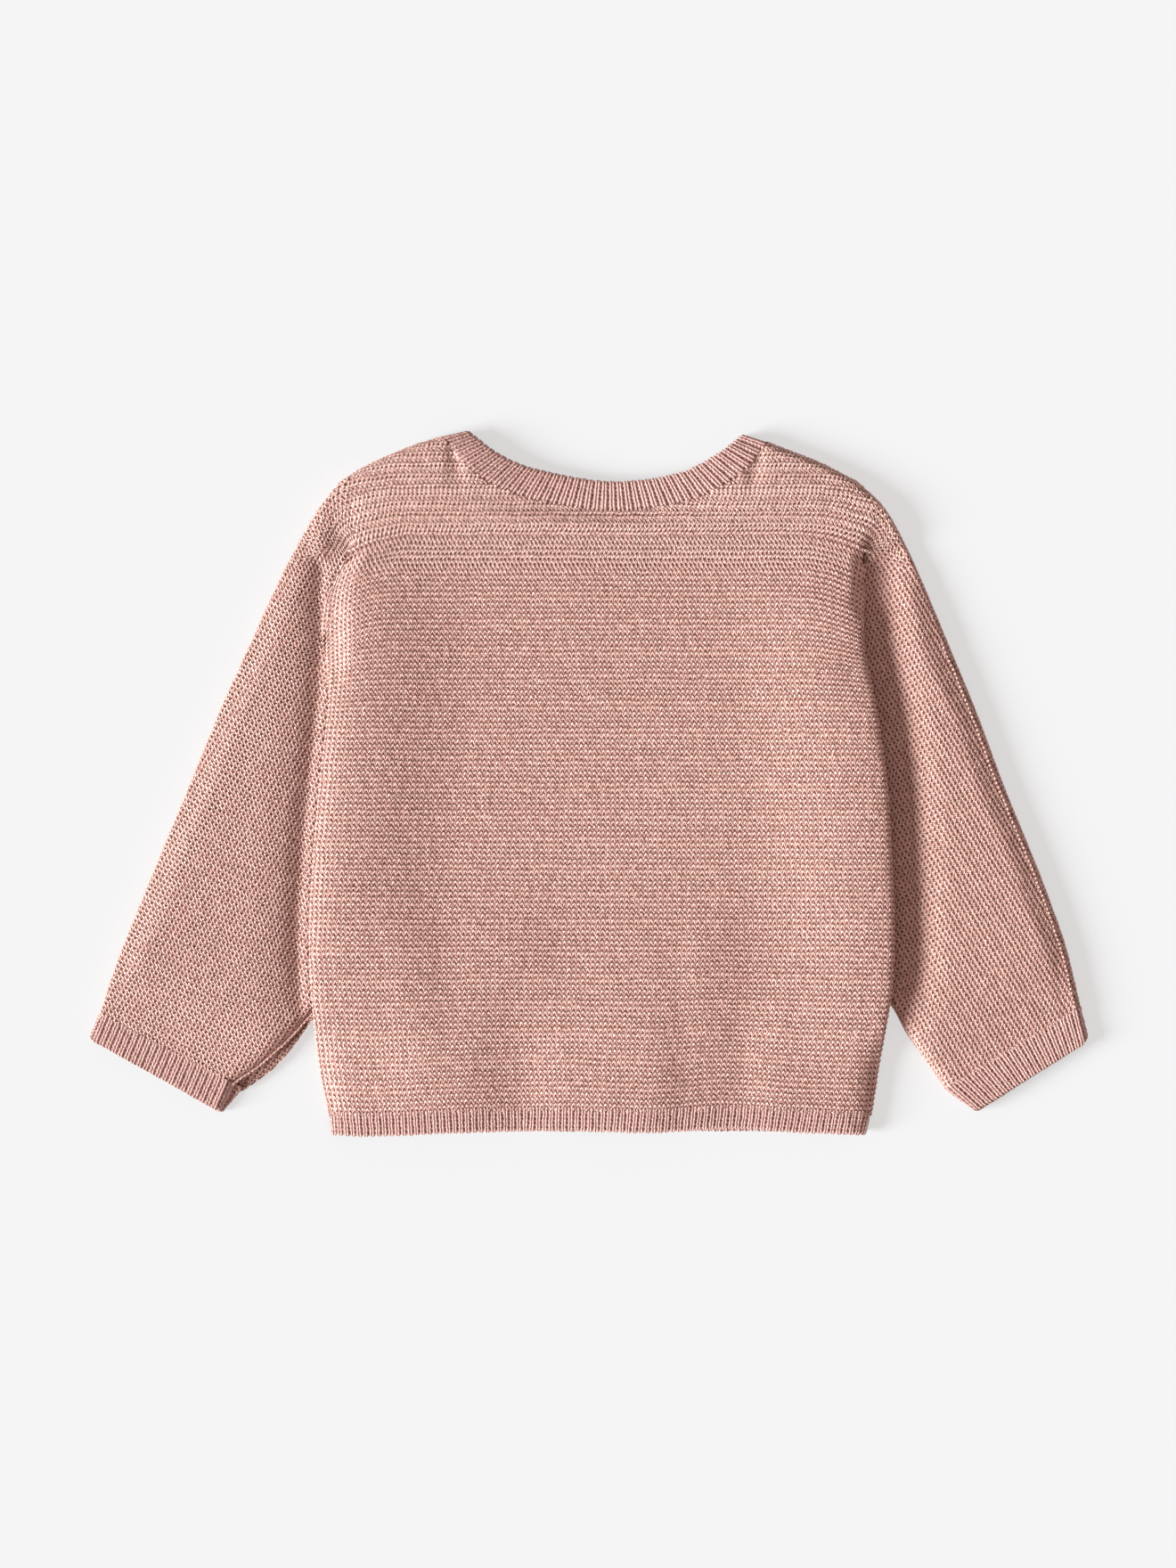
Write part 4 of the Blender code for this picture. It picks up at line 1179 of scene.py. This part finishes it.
def seam_cord(side):
    """A sewn seam beside the edge of a sleeve: a cord of slanting stitches along a line."""
    path = route(CORD_LINES[side], np.linspace(0.0, 1.0, 900))
    way = np.gradient(path, axis=0)
    way = way / np.linalg.norm(way, axis=1)[:, None]
    normal = np.stack([-way[:, 1], way[:, 0]], axis=1) * -side
    length = np.concatenate([[0.0], np.cumsum(np.linalg.norm(np.diff(path, axis=0), axis=1))])
    wander = 0.16 * smooth_noise(length, length * 0.0, 101 + side, 3.0)
    path = path + normal * (CORD_INSIDE[side] + wander)[:, None]
    z = sleeve_surface(path[:, 0], path[:, 1], side) + CORD_LIFT[side]
    angles = np.linspace(0.0, 2.0 * math.pi, CORD_SAMPLES + 1)[:-1]
    stitch = length / CORD_STITCH
    swell = np.abs(np.sin(math.pi * stitch[:, None] + 0.5 * angles))
    radius = CORD_RADIUS * (0.72 + 0.42 * swell)
    plan = path[:, None] + normal[:, None] * (radius * np.cos(angles))[..., None]
    level = z[:, None] + radius * np.sin(angles)
    points = np.concatenate([plan, level[..., None]], axis=-1)
    uu, vv = np.meshgrid(np.linspace(0.0, 2.0, CORD_SAMPLES + 1), stitch)
    piece = grid_piece("seam_sleeve_" + SIDE_NAMES[side], points, uu, vv, garter, closed=True)
    return place(piece, [])


# ---------------------------------------------------------------- the pieces

back_piece = knit_back()
sleeve_left_piece = knit_sleeve(-1)
sleeve_right_piece = knit_sleeve(1)
front_left_piece = knit_front(-1)
front_right_piece = knit_front(1)
hem_piece = rib_hem_back()
neck_piece = rib_neckband()
cuff_left_piece = rib_cuff(-1)
cuff_right_piece = rib_cuff(1)
hem_left_piece = rib_hem_front(-1)
hem_right_piece = rib_hem_front(1)
band_right_piece = knit_band(1, 0.0, BAND_WALL)
band_left_piece = knit_band(-1, BAND_WALL + GAP, WALL)
seam_cord(1)
seam_cord(-1)

# ---------------------------------------------------------------- buttons

BUTTON_DARK = (0.60, 0.36, 0.32, 1.0)
BUTTON_LIGHT = (0.74, 0.52, 0.48, 1.0)

plastic, shine, nodes = new_material("button_plastic")
speck = nodes.noise(nodes.node("ShaderNodeTexCoord").outputs["Object"], 420.0, 3.0)
tint = nodes.node("ShaderNodeMix", data_type="RGBA")
for name, source in (("Factor", speck), ("A", BUTTON_DARK), ("B", BUTTON_LIGHT)):
    nodes.link(source, tint.inputs[name])
nodes.fill(shine, {"Base Color": tint.outputs["Result"], "Roughness": 0.3})
for number in range(1, 6):
    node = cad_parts[f"button_{number}"]
    node.data.materials.clear()
    node.data.materials.append(plastic)

# ---------------------------------------------------------------- floor, light and camera

FLOOR_HALF = 6.0  # metres
FLOOR_COLOUR = (0.2476, 0.260, 0.2672, 1.0)
FLOOR_GLOW = 0.59
WORLD_COLOUR = (1.0, 0.80, 0.74, 1.0)
WORLD_STRENGTH = 0.46
SUN_HEIGHT = math.radians(23.0)
SUN_TURN = math.radians(-14.0)  # towards the hem from the wearer's left
CAMERA_HEIGHT = 2.2
CAMERA_Y = -0.00036
VIEW_LENGTH = 0.638  # metres of the floor along the picture's long side
SENSOR = 36.0

floor_data = bpy.data.meshes.new("floor")
corners = [(FLOOR_HALF * i, FLOOR_HALF * j, 0.0) for i, j in ((-1, -1), (1, -1), (1, 1), (-1, 1))]
floor_data.from_pydata(corners, [], [(0, 1, 2, 3)])
floor = add_object("floor", floor_data)
floor_material, paint, nodes = new_material("floor")
nodes.fill(paint, {
    "Base Color": FLOOR_COLOUR,
    "Emission Color": (1.0, 1.0, 1.0, 1.0),
    "Emission Strength": FLOOR_GLOW,
    "Roughness": 0.9,
    "Specular IOR Level": 0.1,
})
floor_data.materials.append(floor_material)

world = bpy.data.worlds.new("studio")
bpy.context.scene.world = world
world.use_nodes = True
world.node_tree.nodes["Background"].inputs["Color"].default_value = WORLD_COLOUR
world.node_tree.nodes["Background"].inputs["Strength"].default_value = WORLD_STRENGTH

sun_data = bpy.data.lights.new("key", "SUN")
sun_data.energy = 6.9
sun_data.angle = math.radians(26.0)
sun_data.color = (0.985, 1.0, 1.0)
sun = add_object("key", sun_data)
sun.rotation_euler = (0.0, -(math.pi / 2 - SUN_HEIGHT), -SUN_TURN)

camera_data = bpy.data.cameras.new("camera")
camera = add_object("camera", camera_data)
camera.location = (0.0, CAMERA_Y, CAMERA_HEIGHT)
camera_data.sensor_width = SENSOR
camera_data.lens = SENSOR * CAMERA_HEIGHT / VIEW_LENGTH
camera_data.clip_start = 0.1
camera_data.clip_end = 50.0
bpy.context.scene.camera = camera
bpy.context.scene.view_settings.view_transform = "Standard"
